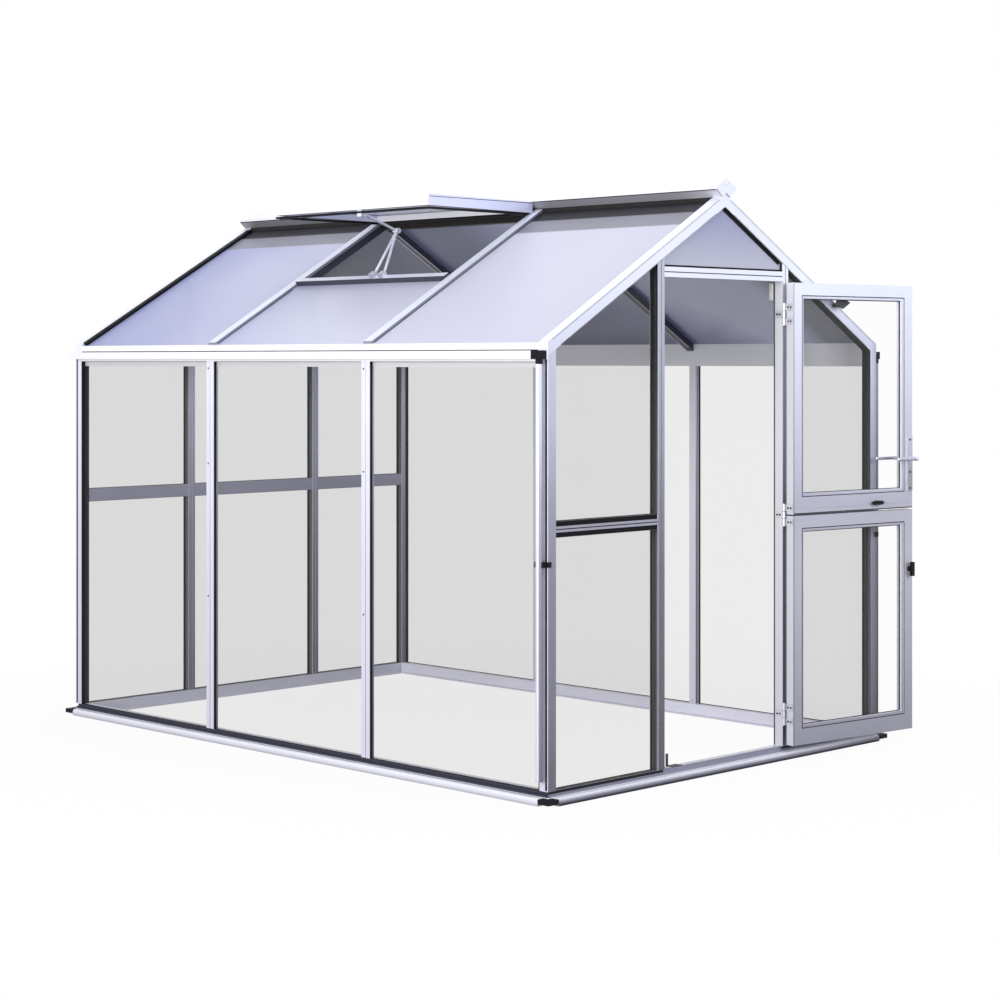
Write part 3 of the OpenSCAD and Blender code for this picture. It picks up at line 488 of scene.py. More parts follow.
# %% [markdown]
# ## Clear panes and twin-wall sheets
# A clear pane is a light grey filter with a soft shine: each face lets most of what is behind it
# through. The roof sheets have two skins joined by fine webs. Outside they are pale and pick up
# the sky, bluer toward the rear, and greyer where the ridge shades them. Inside, where little
# light falls on them, they are dark and the webs show as fine stripes. Glass that bends light
# would be the other way, but thin panes hardly bend it and a plain filter is much quicker.

# %% Helpers for panes and sheets
WEB_PITCH = 0.0055
SHADE_DEPTH = 0.064
UNDER_BEAM_SHADE_DEPTH = 0.01
SHADE = (0.02, 0.02, 0.035)


def clear_glass(name, colour, alpha):
    glass = Finish(name, alpha=alpha, ior=1.4)
    film = glass.noise(2.5, detail=1.0)
    glass.set("Base Color", glass.blend(film, tint(colour, 0.92), tint(colour, 1.06)))
    glass.set("Roughness", film * 0.05 + 0.03)
    return glass.material


def webs(sheet, across):
    """Fine parallel ridges between 0 and 1."""
    return (sheet.axis(across) * (math.tau / WEB_PITCH)).math("SINE") * 0.5 + 0.5


def sheet_skin(sheet, colour, ridge, roughness):
    """Sets the colour, and lets the webs show in roughness and bump."""
    sheet.set("Base Color", colour)
    sheet.set("Roughness", ridge * 0.1 + roughness)
    sheet.bump(ridge, 0.0003, 0.3)
    return sheet.material


print("pane helpers ready")

# %% [markdown]
# ## Roof and gable sheets
# One function makes every roof sheet from two rows of tones that run from rear to front: one for
# the side that faces the sky and one for the side that faces the room. A second function makes
# the upright sheet in the gable.

# %% Finishes of panes and sheets
def roof_sheet(name, outside, inside, alpha_out, alpha_in, under_ridge):
    """Sheet with its tones outside and inside, and how dark the ridge's shade on it is.

    The inside also goes from one density at the rear to another at the front.
    """
    sheet = Finish(name, ior=1.45)
    ridge = webs(sheet, 1)
    clouds = sheet.noise(1.1, detail=3.0)
    climb = (sheet.axis(2) - 1.95) * 0.3
    along = (sheet.axis(1).ramp(1.45, -1.45) + (clouds - 0.5) * 0.45 + climb).clamp()
    outer = sheet.facing(2).above(0.0, 0.05)
    pale = sheet.stops(along, outside)
    shade = sheet.axis(2).above(RIDGE_FOOT - SHADE_DEPTH, 0.006)
    pale = sheet.blend(shade * under_ridge, pale, tint((0.245, 0.245, 0.3)))
    if under_ridge > 0.5:
        # Painted shade: a dark band on the sheet just under the ridge beam.
        gap = sheet.axis(2).above(RIDGE_FOOT - UNDER_BEAM_SHADE_DEPTH, 0.002)
        pale = sheet.blend(gap, pale, tint((0.02, 0.02, 0.025)))
    pale = sheet.blend(ridge * 0.06, pale, tint((0.3, 0.3, 0.4)))
    deep = sheet.blend(ridge * 0.5, sheet.stops(along, inside), tint((0.02, 0.02, 0.03)))
    # Painted shade on the inside of the sheet near the front gable.
    near_gable = (-sheet.axis(1)).ramp(1.2, 1.3)
    deep = sheet.blend(near_gable * 0.7, deep, tint(SHADE))
    rear, front = alpha_in
    dense = along.ramp(0.75, 0.55) * (rear - front) + front + near_gable * 0.12
    sheet.set("Alpha", (1 - outer) * dense + outer * alpha_out)
    return sheet_skin(sheet, sheet.blend(outer, deep, pale), ridge, 0.25)


def gable_sheet(name, low, high, alpha):
    """Upright sheet that is lighter at its foot than under the ridge."""
    sheet = Finish(name, ior=1.45, alpha=alpha)
    ridge = webs(sheet, 0)
    body = sheet.blend(sheet.axis(2).ramp(2.0, 2.25), tint(low), tint(high))
    return sheet_skin(sheet, sheet.blend(ridge * 0.2, body, tint(high, 0.5)), ridge, 0.22)


SKY = [(0.0, (0.36, 0.39, 0.68)), (0.25, (0.54, 0.56, 0.80)), (0.55, (0.70, 0.71, 0.88)),
       (1.0, (0.72, 0.72, 0.88))]
LEFT_INSIDE = [(0.0, (0.1, 0.1, 0.14)), (1.0, (0.14, 0.14, 0.18))]
RIGHT_INSIDE = [(0.0, (0.12, 0.13, 0.24)), (0.5, (0.18, 0.2, 0.34)), (0.7, (0.3, 0.32, 0.62)),
                (0.9, (0.3, 0.32, 0.62)), (1.0, (0.1, 0.1, 0.17))]
VENT_INSIDE = [(0.0, (0.25, 0.25, 0.32)), (1.0, (0.6, 0.6, 0.75))]
wall_glass = clear_glass("clear wall pane", (0.05, 0.05, 0.05), 0.092)
leaf_glass = clear_glass("clear door pane", (0.4, 0.4, 0.4), 0.02)
left_roof = roof_sheet("twin wall, left slope", SKY, LEFT_INSIDE, 0.84, (0.8, 0.8), 0.9)
right_roof = roof_sheet("twin wall, right slope", SKY, RIGHT_INSIDE, 0.86, (0.87, 0.62), 0.4)
vent_sheet = roof_sheet("twin wall, vent", SKY, VENT_INSIDE, 0.7, (0.45, 0.45), 0.0)
gable_top = gable_sheet("twin wall, gable", (0.64, 0.65, 0.8), (0.36, 0.38, 0.62), 0.78)
print("glazing made")

# %% [markdown]
# ## Plastic, rubber and the ridge's dark strip
# Moulded plastic has a fine grain and slightly shinier patches. The glazing rubber is black with
# painted shade where it grips the pane, and turns grey with painted light and reflection toward
# the outer edge and the foot, with a little random dust. The ridge beam is coloured dark as
# painted shade under the ridge cap.

# %% Black and dark finishes
def moulded(name, colour, roughness, grain=0.0001):
    plastic = Finish(name, specular_ior_level=0.15)
    speckle = plastic.noise(700.0, detail=3.0)
    patches = plastic.noise(14.0)
    plastic.set("Base Color", plastic.blend(patches, tint(colour, 0.7), tint(colour, 1.4)))
    plastic.set("Roughness", (patches - 0.5) * 0.2 + roughness)
    plastic.bump(speckle, grain, 0.4)
    return plastic.material


def glazing_rubber(name):
    rubber = Finish(name, specular_ior_level=0.2)
    dust = rubber.noise(9.0, (1, 1, 0.15), detail=3.0)
    from_front = rubber.axis(1) - FRONT
    nearest = from_front.math("MINIMUM", BACK - rubber.axis(1))
    shallow = nearest.ramp(0.034, 0.030) * (nearest.ramp(0.030, 0.003) * 0.6 + 0.4)
    in_wall = 1 - rubber.axis(0).size().above(HALF - 0.03, 0.001)
    rear = rubber.axis(1).ramp(BACK - 0.0215, BACK - 0.0245) * in_wall
    room = rubber.axis(1).above(0.0, 0.1)
    # Painted light toward the outer edge of the reveals and on the rear reveals, more toward the
    # foot; elsewhere painted shade keeps the rubber black.
    reveal_light = shallow * (1 - room) + rear * room * 2.2
    high = 1 - rubber.axis(2).ramp(0.9, 1.75) * 0.85
    grey = (reveal_light * high + (dust - 0.5) * 0.15).clamp()
    rubber.set("Base Color", rubber.blend(grey, tint((0.004,) * 3), tint((0.15, 0.15, 0.16))))
    rubber.set("Roughness", dust * 0.3 + 0.5)
    rubber.bump(dust, 0.0002, 0.3)
    return rubber.material


black_plastic = moulded("black plastic", (0.004, 0.004, 0.007), 0.6)
grey_plastic = moulded("grey plastic", (0.05, 0.05, 0.06), 0.4)
white_plastic = moulded("white plastic", (0.8, 0.8, 0.84), 0.4)
seal_black = moulded("black seal", (0.004, 0.004, 0.006), 0.6, 0.0002)
seal_rubber = glazing_rubber("glazing rubber")
# The ridge beam's dark colour is painted shade under the ridge cap.
ridge_shade_metal = moulded("dark painted metal", (0.02, 0.018, 0.018), 0.5)
print("dark finishes made")

# %% [markdown]
# ## Finishing the carried pieces
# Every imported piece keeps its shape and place. It only gets the finish of its real material, run
# in the direction in which its bars were drawn.

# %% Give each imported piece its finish
FINISHES = [
    (bar_metal, ["rafters", "ridge_end_plates", "door_header"]),
    (midrail_metal, ["midrails"]),
    (roof_bar_metal, ["roof_bars"]),
    (trimmer_metal, ["vent_trimmer"]),
    (sill_metal, ["sill_front", "sill_back", "sills_side"]),
    (ridge_metal, ["ridge_cap"]),
    (sash_metal, ["vent_sash"]),
    (post_metal, ["corner_posts", "door_jambs", "rear_posts"]),
    (side_post_metal, ["side_posts", "downpipes"]),
    (gutter_metal, ["gutters", "eave_rails"]),
    (leaf_metal, ["upper_leaf_frame", "lower_leaf_frame"]),
    (plate_metal, ["handle_plates"]),
    (fitting_metal, ["vent_opener", "lever_handle"]),
    (hinge_metal, ["jamb_hinges", "upper_leaf_hinges", "lower_leaf_hinges"]),
    (black_plastic, ["gutter_outlets", "downpipe_clips", "sill_corners", "middle_latch",
                     "lower_leaf_knob"]),
    (grey_plastic, ["door_catch", "sill_bracket"]),
    (ridge_shade_metal, ["ridge_beam"]),
    (seal_rubber, ["glazing_seals"]),
    (wall_glass, ["glass_left", "glass_right", "glass_front", "glass_back"]),
    (leaf_glass, ["upper_leaf_glass", "lower_leaf_glass"]),
    (left_roof, ["roof_panels_left"]),
    (right_roof, ["roof_panels_right"]),
    (gable_top, ["gable_panel"]),
    (vent_sheet, ["vent_pane"]),
]
done = set()
for material, names in FINISHES:
    for name in names:
        mesh = nodes[name].data
        mesh.materials.clear()
        mesh.materials.append(material)
        done.add(name)
print("finished", len(done), "left", sorted(set(nodes) - done))

# %% [markdown]
# ## Primitives and selections
# Each new piece starts as a primitive at its size and place. Its faces or edges are then chosen
# by where they lie, because an operator acts on all that is selected.

# %% Tools for starting a piece
def clear_selection():
    bpy.ops.object.select_all(action="DESELECT")


def only(piece):
    """Makes one piece the active and only selected one."""
    clear_selection()
    piece.select_set(True)
    bpy.context.view_layer.objects.active = piece


def named(name):
    """Names the primitive just added and puts its place and size into its mesh."""
    piece = bpy.context.object
    piece.name = name
    bpy.ops.object.transform_apply(location=True, rotation=True, scale=True)
    return piece


def block(name, low, high):
    """A box between two corners, ready to be shaped."""
    clear_selection()
    bpy.ops.mesh.primitive_cube_add(size=1, location=(Vector(low) + Vector(high)) / 2)
    bpy.context.object.scale = Vector(high) - Vector(low)
    return named(name)


def disc(name, place, radius, depth, turn=(0, 0, 0), sides=32):
    """A cylinder about its own +Z, ready to be shaped."""
    clear_selection()
    bpy.ops.mesh.primitive_cylinder_add(vertices=sides, radius=radius, depth=depth,
                                        location=place, rotation=turn)
    return named(name)


def choose(piece, kind, test=lambda part: True):
    """Enters edit mode and selects only the faces or edges that pass the test."""
    only(piece)
    bpy.ops.object.mode_set(mode="EDIT")
    bpy.ops.mesh.select_mode(type={"faces": "FACE", "edges": "EDGE"}[kind])
    bpy.ops.mesh.select_all(action="DESELECT")
    mesh = bmesh.from_edit_mesh(piece.data)
    for part in getattr(mesh, kind):
        part.select_set(bool(test(part)))
    mesh.select_flush_mode()
    bmesh.update_edit_mesh(piece.data)


def leave_edit(outwards=False):
    """Leaves edit mode, and first turns all faces outwards if asked."""
    if outwards:
        bpy.ops.mesh.select_all(action="SELECT")
        bpy.ops.mesh.normals_make_consistent(inside=False)
    bpy.ops.object.mode_set(mode="OBJECT")


print("starting tools ready")

# %% [markdown]
# ## Finishing a piece
# A shaped piece is softened at its edges, because no real edge is perfectly sharp. It is then
# settled: its place goes into its mesh, it gets a finish and it rides on a body.

# %% Tools for finishing a piece
added = []


def soften(piece, width, segments=2, test=lambda edge: True):
    """Rounds the edges that pass the test."""
    choose(piece, "edges", test)
    bpy.ops.mesh.bevel(offset=width, segments=segments, affect="EDGES")
    leave_edit()


def level(edge):
    """True for an edge that lies flat, such as the rim of an upright disc."""
    return abs(edge.verts[0].co.z - edge.verts[1].co.z) < 1e-6


def settle(piece, material, body="greenhouse", move=None):
    """Puts the place into the mesh, gives the finish and hangs the piece on a body."""
    only(piece)
    if move is not None:
        piece.matrix_world = move @ piece.matrix_world
    bpy.ops.object.transform_apply(location=True, rotation=True, scale=True)
    bpy.ops.object.shade_smooth_by_angle(angle=math.radians(35))
    piece.data.materials.clear()
    piece.data.materials.append(material)
    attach(piece, body)
    added.append(piece)


def merge(name, pieces):
    only(pieces[0])
    for piece in pieces:
        piece.select_set(True)
    bpy.ops.object.join()
    pieces[0].name = name
    return pieces[0]


def strip(name, low, high, material=seal_black, body="greenhouse", move=None, round_by=0.0008,
          segments=2):
    """A bar between two corners with rounded edges, settled on its body."""
    piece = block(name, low, high)
    soften(piece, round_by, segments)
    settle(piece, material, body, move)


print("finishing tools ready")

# %% [markdown]
# ## One screw, many places
# The hinges, handle plates, ridge plates and posts are held by pan-head screws with a cross
# recess. A screw is modelled once at true size: a rounded disc whose recess is cut by two crossed
# blocks. It is then copied to each place and turned so that its head looks outward.

# %% Model the screw
def make_screw(radius, height):
    piece = disc("screw", (0, 0, height / 2), radius, height, sides=24)
    soften(piece, height * 0.55, 3, lambda edge: all(v.co.z > height * 0.9 for v in edge.verts))
    arm, slot = radius * 0.62, radius * 0.16
    cross = merge("cross", [
        block("cut", (-arm, -slot, height * 0.45), (arm, slot, height * 1.5)),
        block("cut", (-slot, -arm, height * 0.45), (slot, arm, height * 1.5))])
    cut = piece.modifiers.new("recess", "BOOLEAN")
    cut.object = cross
    cut.operation = "DIFFERENCE"
    cut.use_self = True
    only(piece)
    bpy.ops.object.modifier_apply(modifier=cut.name)
    bpy.data.objects.remove(cross)
    return piece


screw = make_screw(0.0042, 0.0026)
print("screw faces", len(screw.data.polygons))


def screws(name, places, material, body="greenhouse", move=None, scale=1.0):
    """Copies of the screw; each place is a point and the direction its head looks."""
    copies = []
    for point, look in places:
        copy = screw.copy()
        copy.data = screw.data.copy()
        bpy.context.scene.collection.objects.link(copy)
        turn = Vector(look).to_track_quat("Z", "Y").to_matrix().to_4x4()
        copy.matrix_world = Matrix.Translation(point) @ turn @ Matrix.Scale(scale, 4)
        copies.append(copy)
    clear_selection()
    for copy in copies:
        copy.select_set(True)
    bpy.context.view_layer.objects.active = copies[0]
    bpy.ops.object.transform_apply(location=True, rotation=True, scale=True)
    settle(merge(name, copies), material, body, move)
    print(name, len(places))


# %% [markdown]
# ## Screws of the house
# Two screws hold each hinge plate to the jamb, and two more each ridge plate. Small ones pin the
# side posts to the glazing caps and every post's foot to the sill. Their places come from the
# posts and plates, but `FOOT_INSET` is a typed number, which puts the side posts' foot screws
# 6 mm in front of the post's face: 0.028 would lay them on it.

# %% Place the screws on the house
PLATE = 0.0025
FOOT_INSET = 0.034
CAP_SHIFT = 0.012
POST_PINS = (1.6, 1.19, 0.62)
RAIL_PIN = 1.011
screws("jamb_hinge_screws",
       [((DOOR_HALF - PLATE, FRONT + inset, z), (-1, 0, 0))
        for z in hinge_heights for inset in (0.012, 0.026)], grey_plastic)

cap_low, cap_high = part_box("ridge_end_plates")
screws("ridge_plate_screws",
       [((0.0, end, cap_high.z - drop), (0, look, 0))
        for end, look in ((cap_low.y, -1), (cap_high.y, 1)) for drop in (0.02, 0.055)],
       fitting_metal, scale=1.2)

screws("side_post_screws",
       [((side * HALF, y + CAP_SHIFT, z), (side, 0, 0))
        for side in (-1, 1) for y in (-POST_Y, POST_Y) for z in POST_PINS],
       grey_plastic, scale=0.9)

rear_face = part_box("rear_posts")[0].y
feet = []
for side in (-1, 1):
    for inset in (0.010, 0.027):
        feet.append(((side * (DOOR_HALF + inset), rear_face, SILL_TOP + 0.012), (0, -1, 0)))
    for y in (POST_Y, -POST_Y):
        feet.append(((side * (HALF - FOOT_INSET), y, SILL_TOP + 0.014), (-side, 0, 0)))
    feet.append(((side * middle([DOOR_HALF, JAMB_OUT]), rear_face, RAIL_PIN), (0, -1, 0)))
screws("post_foot_screws", feet, fitting_metal, scale=0.9)

# %% [markdown]
# ## Screws of the door
# Each leaf's hinge plates lie above and below the jamb's plate, and each handle plate has three
# screws. They are placed on the closed leaf and carried to the open one by `LEAF`.

# %% Place the screws on the leaves
PLATE_STEP = 0.029
top_z, meet_z, foot_z = hinge_heights


def hinge_plate_screws(name, body, heights):
    screws(name + "_screws",
           [((leaf_high.x + PLATE, y, z), (1, 0, 0)) for z in heights for y in (0.018, 0.034)],
           grey_plastic, body, LEAF)


hinge_plate_screws("upper_leaf_hinges", "upper_leaf",
                   [top_z + PLATE_STEP, top_z - PLATE_STEP, meet_z + PLATE_STEP])
hinge_plate_screws("lower_leaf_hinges", "lower_leaf",
                   [meet_z - PLATE_STEP, foot_z + PLATE_STEP, foot_z - PLATE_STEP])
rose_low, rose_high = closed_box("handle_plates")
rose_x = middle([rose_low.x, rose_high.x])
screws("handle_plate_screws",
       [((rose_x, y, z), (0, look, 0))
        for y, look in ((rose_low.y, -1), (rose_high.y, 1))
        for z in (rose_high.z - 0.012, middle([rose_low.z, rose_high.z]) - 0.035,
                  rose_low.z + 0.012)],
       grey_plastic, "upper_leaf", LEAF, 1.1)
bpy.data.objects.remove(screw)

# %% [markdown]
# ## Glazing beads of the door
# Each door pane is held by a bead that runs around it on each face. A bead is a flat ring: a
# plane over the opening whose middle is inset and removed, thickened by an extrude and given a
# chamfer along its inner edge. Four mitred bars would be the other way, but a ring has no joints
# to line up.

# %% Model a ring
def ring(name, low, high, width, y0, y1):
    """A flat rectangular ring in x and z between two depths."""
    clear_selection()
    centre = (middle([low.x, high.x]), y0, middle([low.z, high.z]))
    bpy.ops.mesh.primitive_plane_add(size=1, location=centre, rotation=(math.pi / 2, 0, 0))
    bpy.context.object.scale = (high.x - low.x, high.z - low.z, 1)
    piece = named(name)
    choose(piece, "faces")
    bpy.ops.mesh.inset(thickness=width)
    bpy.ops.mesh.delete(type="FACE")
    leave_edit()
    choose(piece, "faces")
    bpy.ops.mesh.extrude_region_move(TRANSFORM_OT_translate={"value": (0, y1 - y0, 0)})
    leave_edit(outwards=True)
    return piece


def inner_rim(low, high, width, depth):
    """A test for the edges of a ring around its hole at one depth."""
    sides = ((0, low.x + width), (0, high.x - width), (2, low.z + width), (2, high.z - width))

    def test(edge):
        return all(abs(v.co.y - depth) < 1e-5
                   and min(abs(v.co[axis] - place) for axis, place in sides) < 1e-5
                   for v in edge.verts)
    return test


print("ring ready")

# %% [markdown]
# ## Beads, wedges and lines on each leaf
# Round each pane lie an inner and an outer bead and a thin rubber wedge. A dark line marks the
# joint of bead and frame, and another the folded edge on the hinge side.

# %% Fit the rings and lines to the leaves
LIFT = 0.0002
LINE = 0.0006
PANE_GAP = 0.0004
BITE = Vector((0.0095, 0, 0.0095))
JOINT = Vector((0.002, 0, 0.002))
WEDGE = Vector((0.013, 0, 0.013))
for leaf in ("upper_leaf", "lower_leaf"):
    pane_low, pane_high = closed_box(leaf + "_glass")
    low, high = pane_low + BITE, pane_high - BITE
    for side, y0, y1, width in (
            ("inner", pane_high.y + PANE_GAP, leaf_high.y - 0.004, 0.013),
            ("outer", pane_low.y - PANE_GAP, leaf_low.y + 0.004, 0.010)):
        bead = ring(f"{leaf}_{side}_bead", low, high, width, y0, y1)
        soften(bead, 0.004, 2, inner_rim(low, high, width, y1))
        settle(bead, leaf_metal, leaf, LEAF)
    frame_low, frame_high = closed_box(leaf + "_frame")
    face = frame_high.y + LIFT
    outline = ring(f"{leaf}_outline", low - JOINT, high + JOINT, 0.003, face, face + LINE)
    soften(outline, 0.0002, 1)
    settle(outline, seal_black, leaf, LEAF)
    strip(f"{leaf}_edge_line", (frame_high.x - 0.0042, face, frame_low.z + 0.004),
          (frame_high.x - 0.0022, face + LINE, frame_high.z - 0.004), seal_black, leaf, LEAF,
          0.0002, 1)
    wedge = ring(f"{leaf}_wedge_seal", low + WEDGE, high - WEDGE, 0.0025,
                 pane_high.y + PANE_GAP, pane_high.y + 0.006)
    soften(wedge, 0.0008, 1)
    settle(wedge, seal_black, leaf, LEAF)
print("beads", [piece.name for piece in added if "bead" in piece.name])

# %% [markdown]
# ## Draught seals of the door
# A black rubber strip closes the gap between the leaves and the frame. It is a thin bar with a
# rounded lip, pressed against both jambs and the edge where the leaves meet.

# %% Seals along the door opening
SEAL_TOP = 1.955
for tag, x0, x1 in (("hinge", DOOR_HALF - 0.0035, DOOR_HALF - 0.0003),
                    ("lock", -DOOR_HALF + 0.0003, -DOOR_HALF + 0.0035)):
    strip(f"{tag}_jamb_seal", (x0, FRONT + 0.040, SILL_TOP + 0.002),
          (x1, FRONT + 0.0435, SEAL_TOP))
strip("upper_leaf_lap", (leaf_low.x + 0.003, leaf_high.y + LIFT, leaf_low.z + 0.001),
      (leaf_high.x - 0.003, leaf_high.y + 0.0016, leaf_low.z + 0.005), seal_black, "upper_leaf",
      LEAF, 0.0005)
print("door seals placed")

# %% [markdown]
# ## Hinge washers
# A thin black washer parts the knuckles of each hinge, so that metal doesn't rub on metal. It is
# a disc on the hinge axis with a softened rim.

# %% Hinge washers
WASHER_AT = 0.0145
for index, z in enumerate(hinge_heights):
    for gap, tag in ((z + WASHER_AT, "upper"), (z - WASHER_AT, "lower")):
        washer = disc(f"hinge_washer_{index}_{tag}", (hinge_point.x, hinge_point.y, gap),
                      0.0076, 0.0016)
        soften(washer, 0.0004, 1, level)
        settle(washer, black_plastic)
print("washers", 2 * len(hinge_heights))

# %% [markdown]
# ## Caps on the hinge pins
# A low metal cap closes each end of a pin. Only its outer rim is rounded, because the inner one
# sits on the knuckle.

# %% Hinge pin caps
for index, z in enumerate(hinge_heights):
    for end, sign, tag in ((z + PIN_HALF, 1, "top"), (z - PIN_HALF, -1, "foot")):
        cap = disc(f"hinge_pin_cap_{index}_{tag}",
                   (hinge_point.x, hinge_point.y, end + sign * 0.0016), 0.0058, 0.003)
        soften(cap, 0.0012, 2,
               lambda edge: all((v.co.z - end) * sign > 0.0025 for v in edge.verts))
        settle(cap, fitting_metal)
print("pin caps", 2 * len(hinge_heights))

# %% [markdown]
# ## Laying strips on the roof
# Rubber and ribs run up and down the two slopes. Each strip is modelled flat, as if the slope
# were level with its foot at the origin, and is then laid on the slope with `on_slope`. That is
# easier to measure than a bar that is already tilted.

# %% The slope's own frame
def slope(side):
    """Frame of one slope: up the slope, along the house and away from the sheet."""
    mesh, face = roof_face(side)
    away = face.normal.normalized()
    foot_x = side * max(side * vertex.co.x for vertex in mesh.vertices)
    point = mesh.vertices[face.vertices[0]].co
    foot_z = point.z - (foot_x - point.x) * away.x / away.z
    climb = Vector((-side * away.z, 0, side * away.x))
    turn = Matrix((climb, Vector((0, -side, 0)), away)).transposed().to_4x4()
    return Matrix.Translation((foot_x, 0, foot_z)) @ turn


def on_slope(side, name, low, high, material, round_by=0.0008):
    """A strip on the sheet, from and to: up the slope, along y of the house, above it."""
    y0, y1 = sorted((-side * low[1], -side * high[1]))
    strip(name, (low[0], y0, low[2]), (high[0], y1, high[2]), material,
          move=slope(side), round_by=round_by)


SIDES = ((-1, "left"), (1, "right"))
run = slope(1).to_3x3().col[0]
sheet_low, sheet_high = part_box("roof_panels_right")
LENGTH = (sheet_high.x - sheet_low.x) / abs(run.x)
trim_at = (sheet_high.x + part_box("vent_trimmer")[0].x) / abs(run.x)
print("slope length", round(LENGTH, 3), "trimmer at", round(trim_at, 3))

# %% [markdown]
# ## Seals of the roof
# Black rubber lies on the sheets beside every roof bar and along both gable rafters, a thick one
# at the rear, which is partly painted shade for the dark inner side of the rear rafter. On the
# left slope the strips beside the middle bay end at the vent's trimmer.

# %% Seals on the two slopes
bar_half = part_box("roof_bars")[1].y - POST_Y
for side, tag in SIDES:
    # Partly painted shade: the thick black rear seal also stands for the shaded inner side of the
    # rear rafter.
    on_slope(side, f"{tag}_rear_edge_seal", (0.012, BACK - 0.068, LIFT),
             (LENGTH - 0.02, BACK - 0.0355, 0.013), seal_black)
    on_slope(side, f"{tag}_front_edge_seal", (0.012, FRONT + 0.0355, LIFT),
             (LENGTH - 0.02, FRONT + 0.040, 0.003), seal_black)
    for post_y, end in ((-POST_Y, "front"), (POST_Y, "rear")):
        for edge, lean in ((-1, "front"), (1, "rear")):
            beside_vent = side < 0 and edge * post_y < 0
            top = trim_at - 0.02 if beside_vent else LENGTH - 0.03
            at = post_y + edge * (bar_half + 0.0022)
            on_slope(side, f"{tag}_{end}_bar_{lean}_seal", (0.018, at - 0.002, LIFT),
                     (top, at + 0.002, 0.0022), seal_black)
print("roof seals placed")

# %% [markdown]
# ## Lines along the rafters
# Two thin dark lines run along each rafter's outer face: the joint above the sheet's edge, and the
# shadow gap at the rafter's lower edge as a line of painted shade. A groove could be cut in the
# rafter, but an imported piece keeps its shape, so each line is a very thin black strip.

# %% Lines on the rafters' faces
UNDER = (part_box("glazing_seals")[1].z + 0.0012 - SHEET_TOP) * abs(run.x)
for side, tag in SIDES:
    for y0, y1, end in ((FRONT - 0.0007, FRONT - 0.0001, "front"),
                        (BACK + 0.0001, BACK + 0.0007, "rear")):
        on_slope(side, f"{tag}_{end}_rafter_line", (0.02, y0, 0.0052),
                 (LENGTH - 0.012, y1, 0.0066), seal_black, 0.0002)
        # Painted shade: a black strip for the shadow gap at the rafter's lower edge.
        on_slope(side, f"{tag}_{end}_rafter_edge", (0.05, y0, UNDER + 0.0002),
                 (LENGTH - 0.06, y1, UNDER + 0.0016), seal_black, 0.0002)
print("rafter lines placed")

# %% [markdown]
# ## Ribs under the roof bars
# Each bar's lower flange has two small pale ribs that grip the shelf brackets. They are thin bars
# just below the flange, one along each edge.

# %% Ribs along the flanges
flat = slope(1).inverted()
right_half = [flat @ v.co for v in nodes["roof_bars"].data.vertices if v.co.x > 0]
deep = min(point.z for point in right_half)
inner_half = max(abs(abs(point.y) - POST_Y) for point in right_half if point.z < deep + 0.001)
for side, tag in SIDES:
    top = trim_at - 0.06 if side < 0 else LENGTH - 0.05
    for post_y, end in ((-POST_Y, "front"), (POST_Y, "rear")):
        for edge, lean in ((-1, "front"), (1, "rear")):
            at = post_y + edge * (inner_half - 0.0016)
            on_slope(side, f"{tag}_{end}_bar_{lean}_rib", (0.06, at - 0.0014, deep - 0.0016),
                     (top, at + 0.0014, deep - 0.0002), rib_metal, 0.0004)
print("bar underside", round(deep, 4), "half width", round(inner_half, 4))

# %% [markdown]
# ## Lines at the ridge and in the gable
# The ridge cap's two skins meet in a black joint line under each edge. In the gable the top sheet
# is held by a wide rubber under the right rafter, whose width is partly painted shade of the
# rafter's underside, a narrow one under the left rafter and one above the door header.

# %% Ridge joint lines and gable rubbers
ridge_low, ridge_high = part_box("ridge_cap")
edge_z = min(v.co.z for v in nodes["ridge_cap"].data.vertices if abs(v.co.x) > ridge_high.x - 1e-4)
for side, tag in SIDES:
    x0, x1 = sorted((side * (ridge_high.x - 0.0002), side * (ridge_high.x - 0.004)))
    strip(f"ridge_{tag}_line", (x0, ridge_low.y + 0.004, edge_z - 0.0034),
          (x1, ridge_high.y - 0.004, edge_z - 0.0002), round_by=0.0004, segments=1)

seal_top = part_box("glazing_seals")[1].z - 0.0012
panel_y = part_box("gable_panel")[0].y
pitch_turn = math.atan(PITCH)
reach = DOOR_HALF / math.cos(pitch_turn) - 0.01
# The right rubber's extra width is painted shade under the right rafter.
for side, tag, wide in ((-1, "left", 0.003), (1, "right", 0.012)):
    x0, x1 = sorted((0.0, side * reach))
    lay = Matrix.Translation((0, 0, seal_top)) @ Matrix.Rotation(side * pitch_turn, 4, "Y")
    strip(f"gable_{tag}_rubber", (x0, panel_y - 0.0024, -wide), (x1, panel_y - 0.0004, 0.0),
          move=lay, round_by=0.0006, segments=1)
header_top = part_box("door_header")[1].z
strip("header_rubber", (-DOOR_HALF + 0.003, panel_y - 0.0024, header_top + 0.0014),
      (DOOR_HALF - 0.003, panel_y - 0.0004, header_top + 0.008), round_by=0.0006, segments=1)
print("ridge and gable lines placed")

# %% [markdown]
# ## Seal of the roof vent
# A rubber frame under the sash closes it against the bars when it is shut, and its black also
# stands for painted shade under the sash's free edge. It is a flat block whose top and bottom are
# inset and removed, and whose two holes are bridged, which leaves a square tube of rubber. A thin
# dark line marks the fold on each end of the sash.

# %% Sash seal and sash lines
SEAL_WIDTH = 0.022
sash_low, sash_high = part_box("vent_sash")
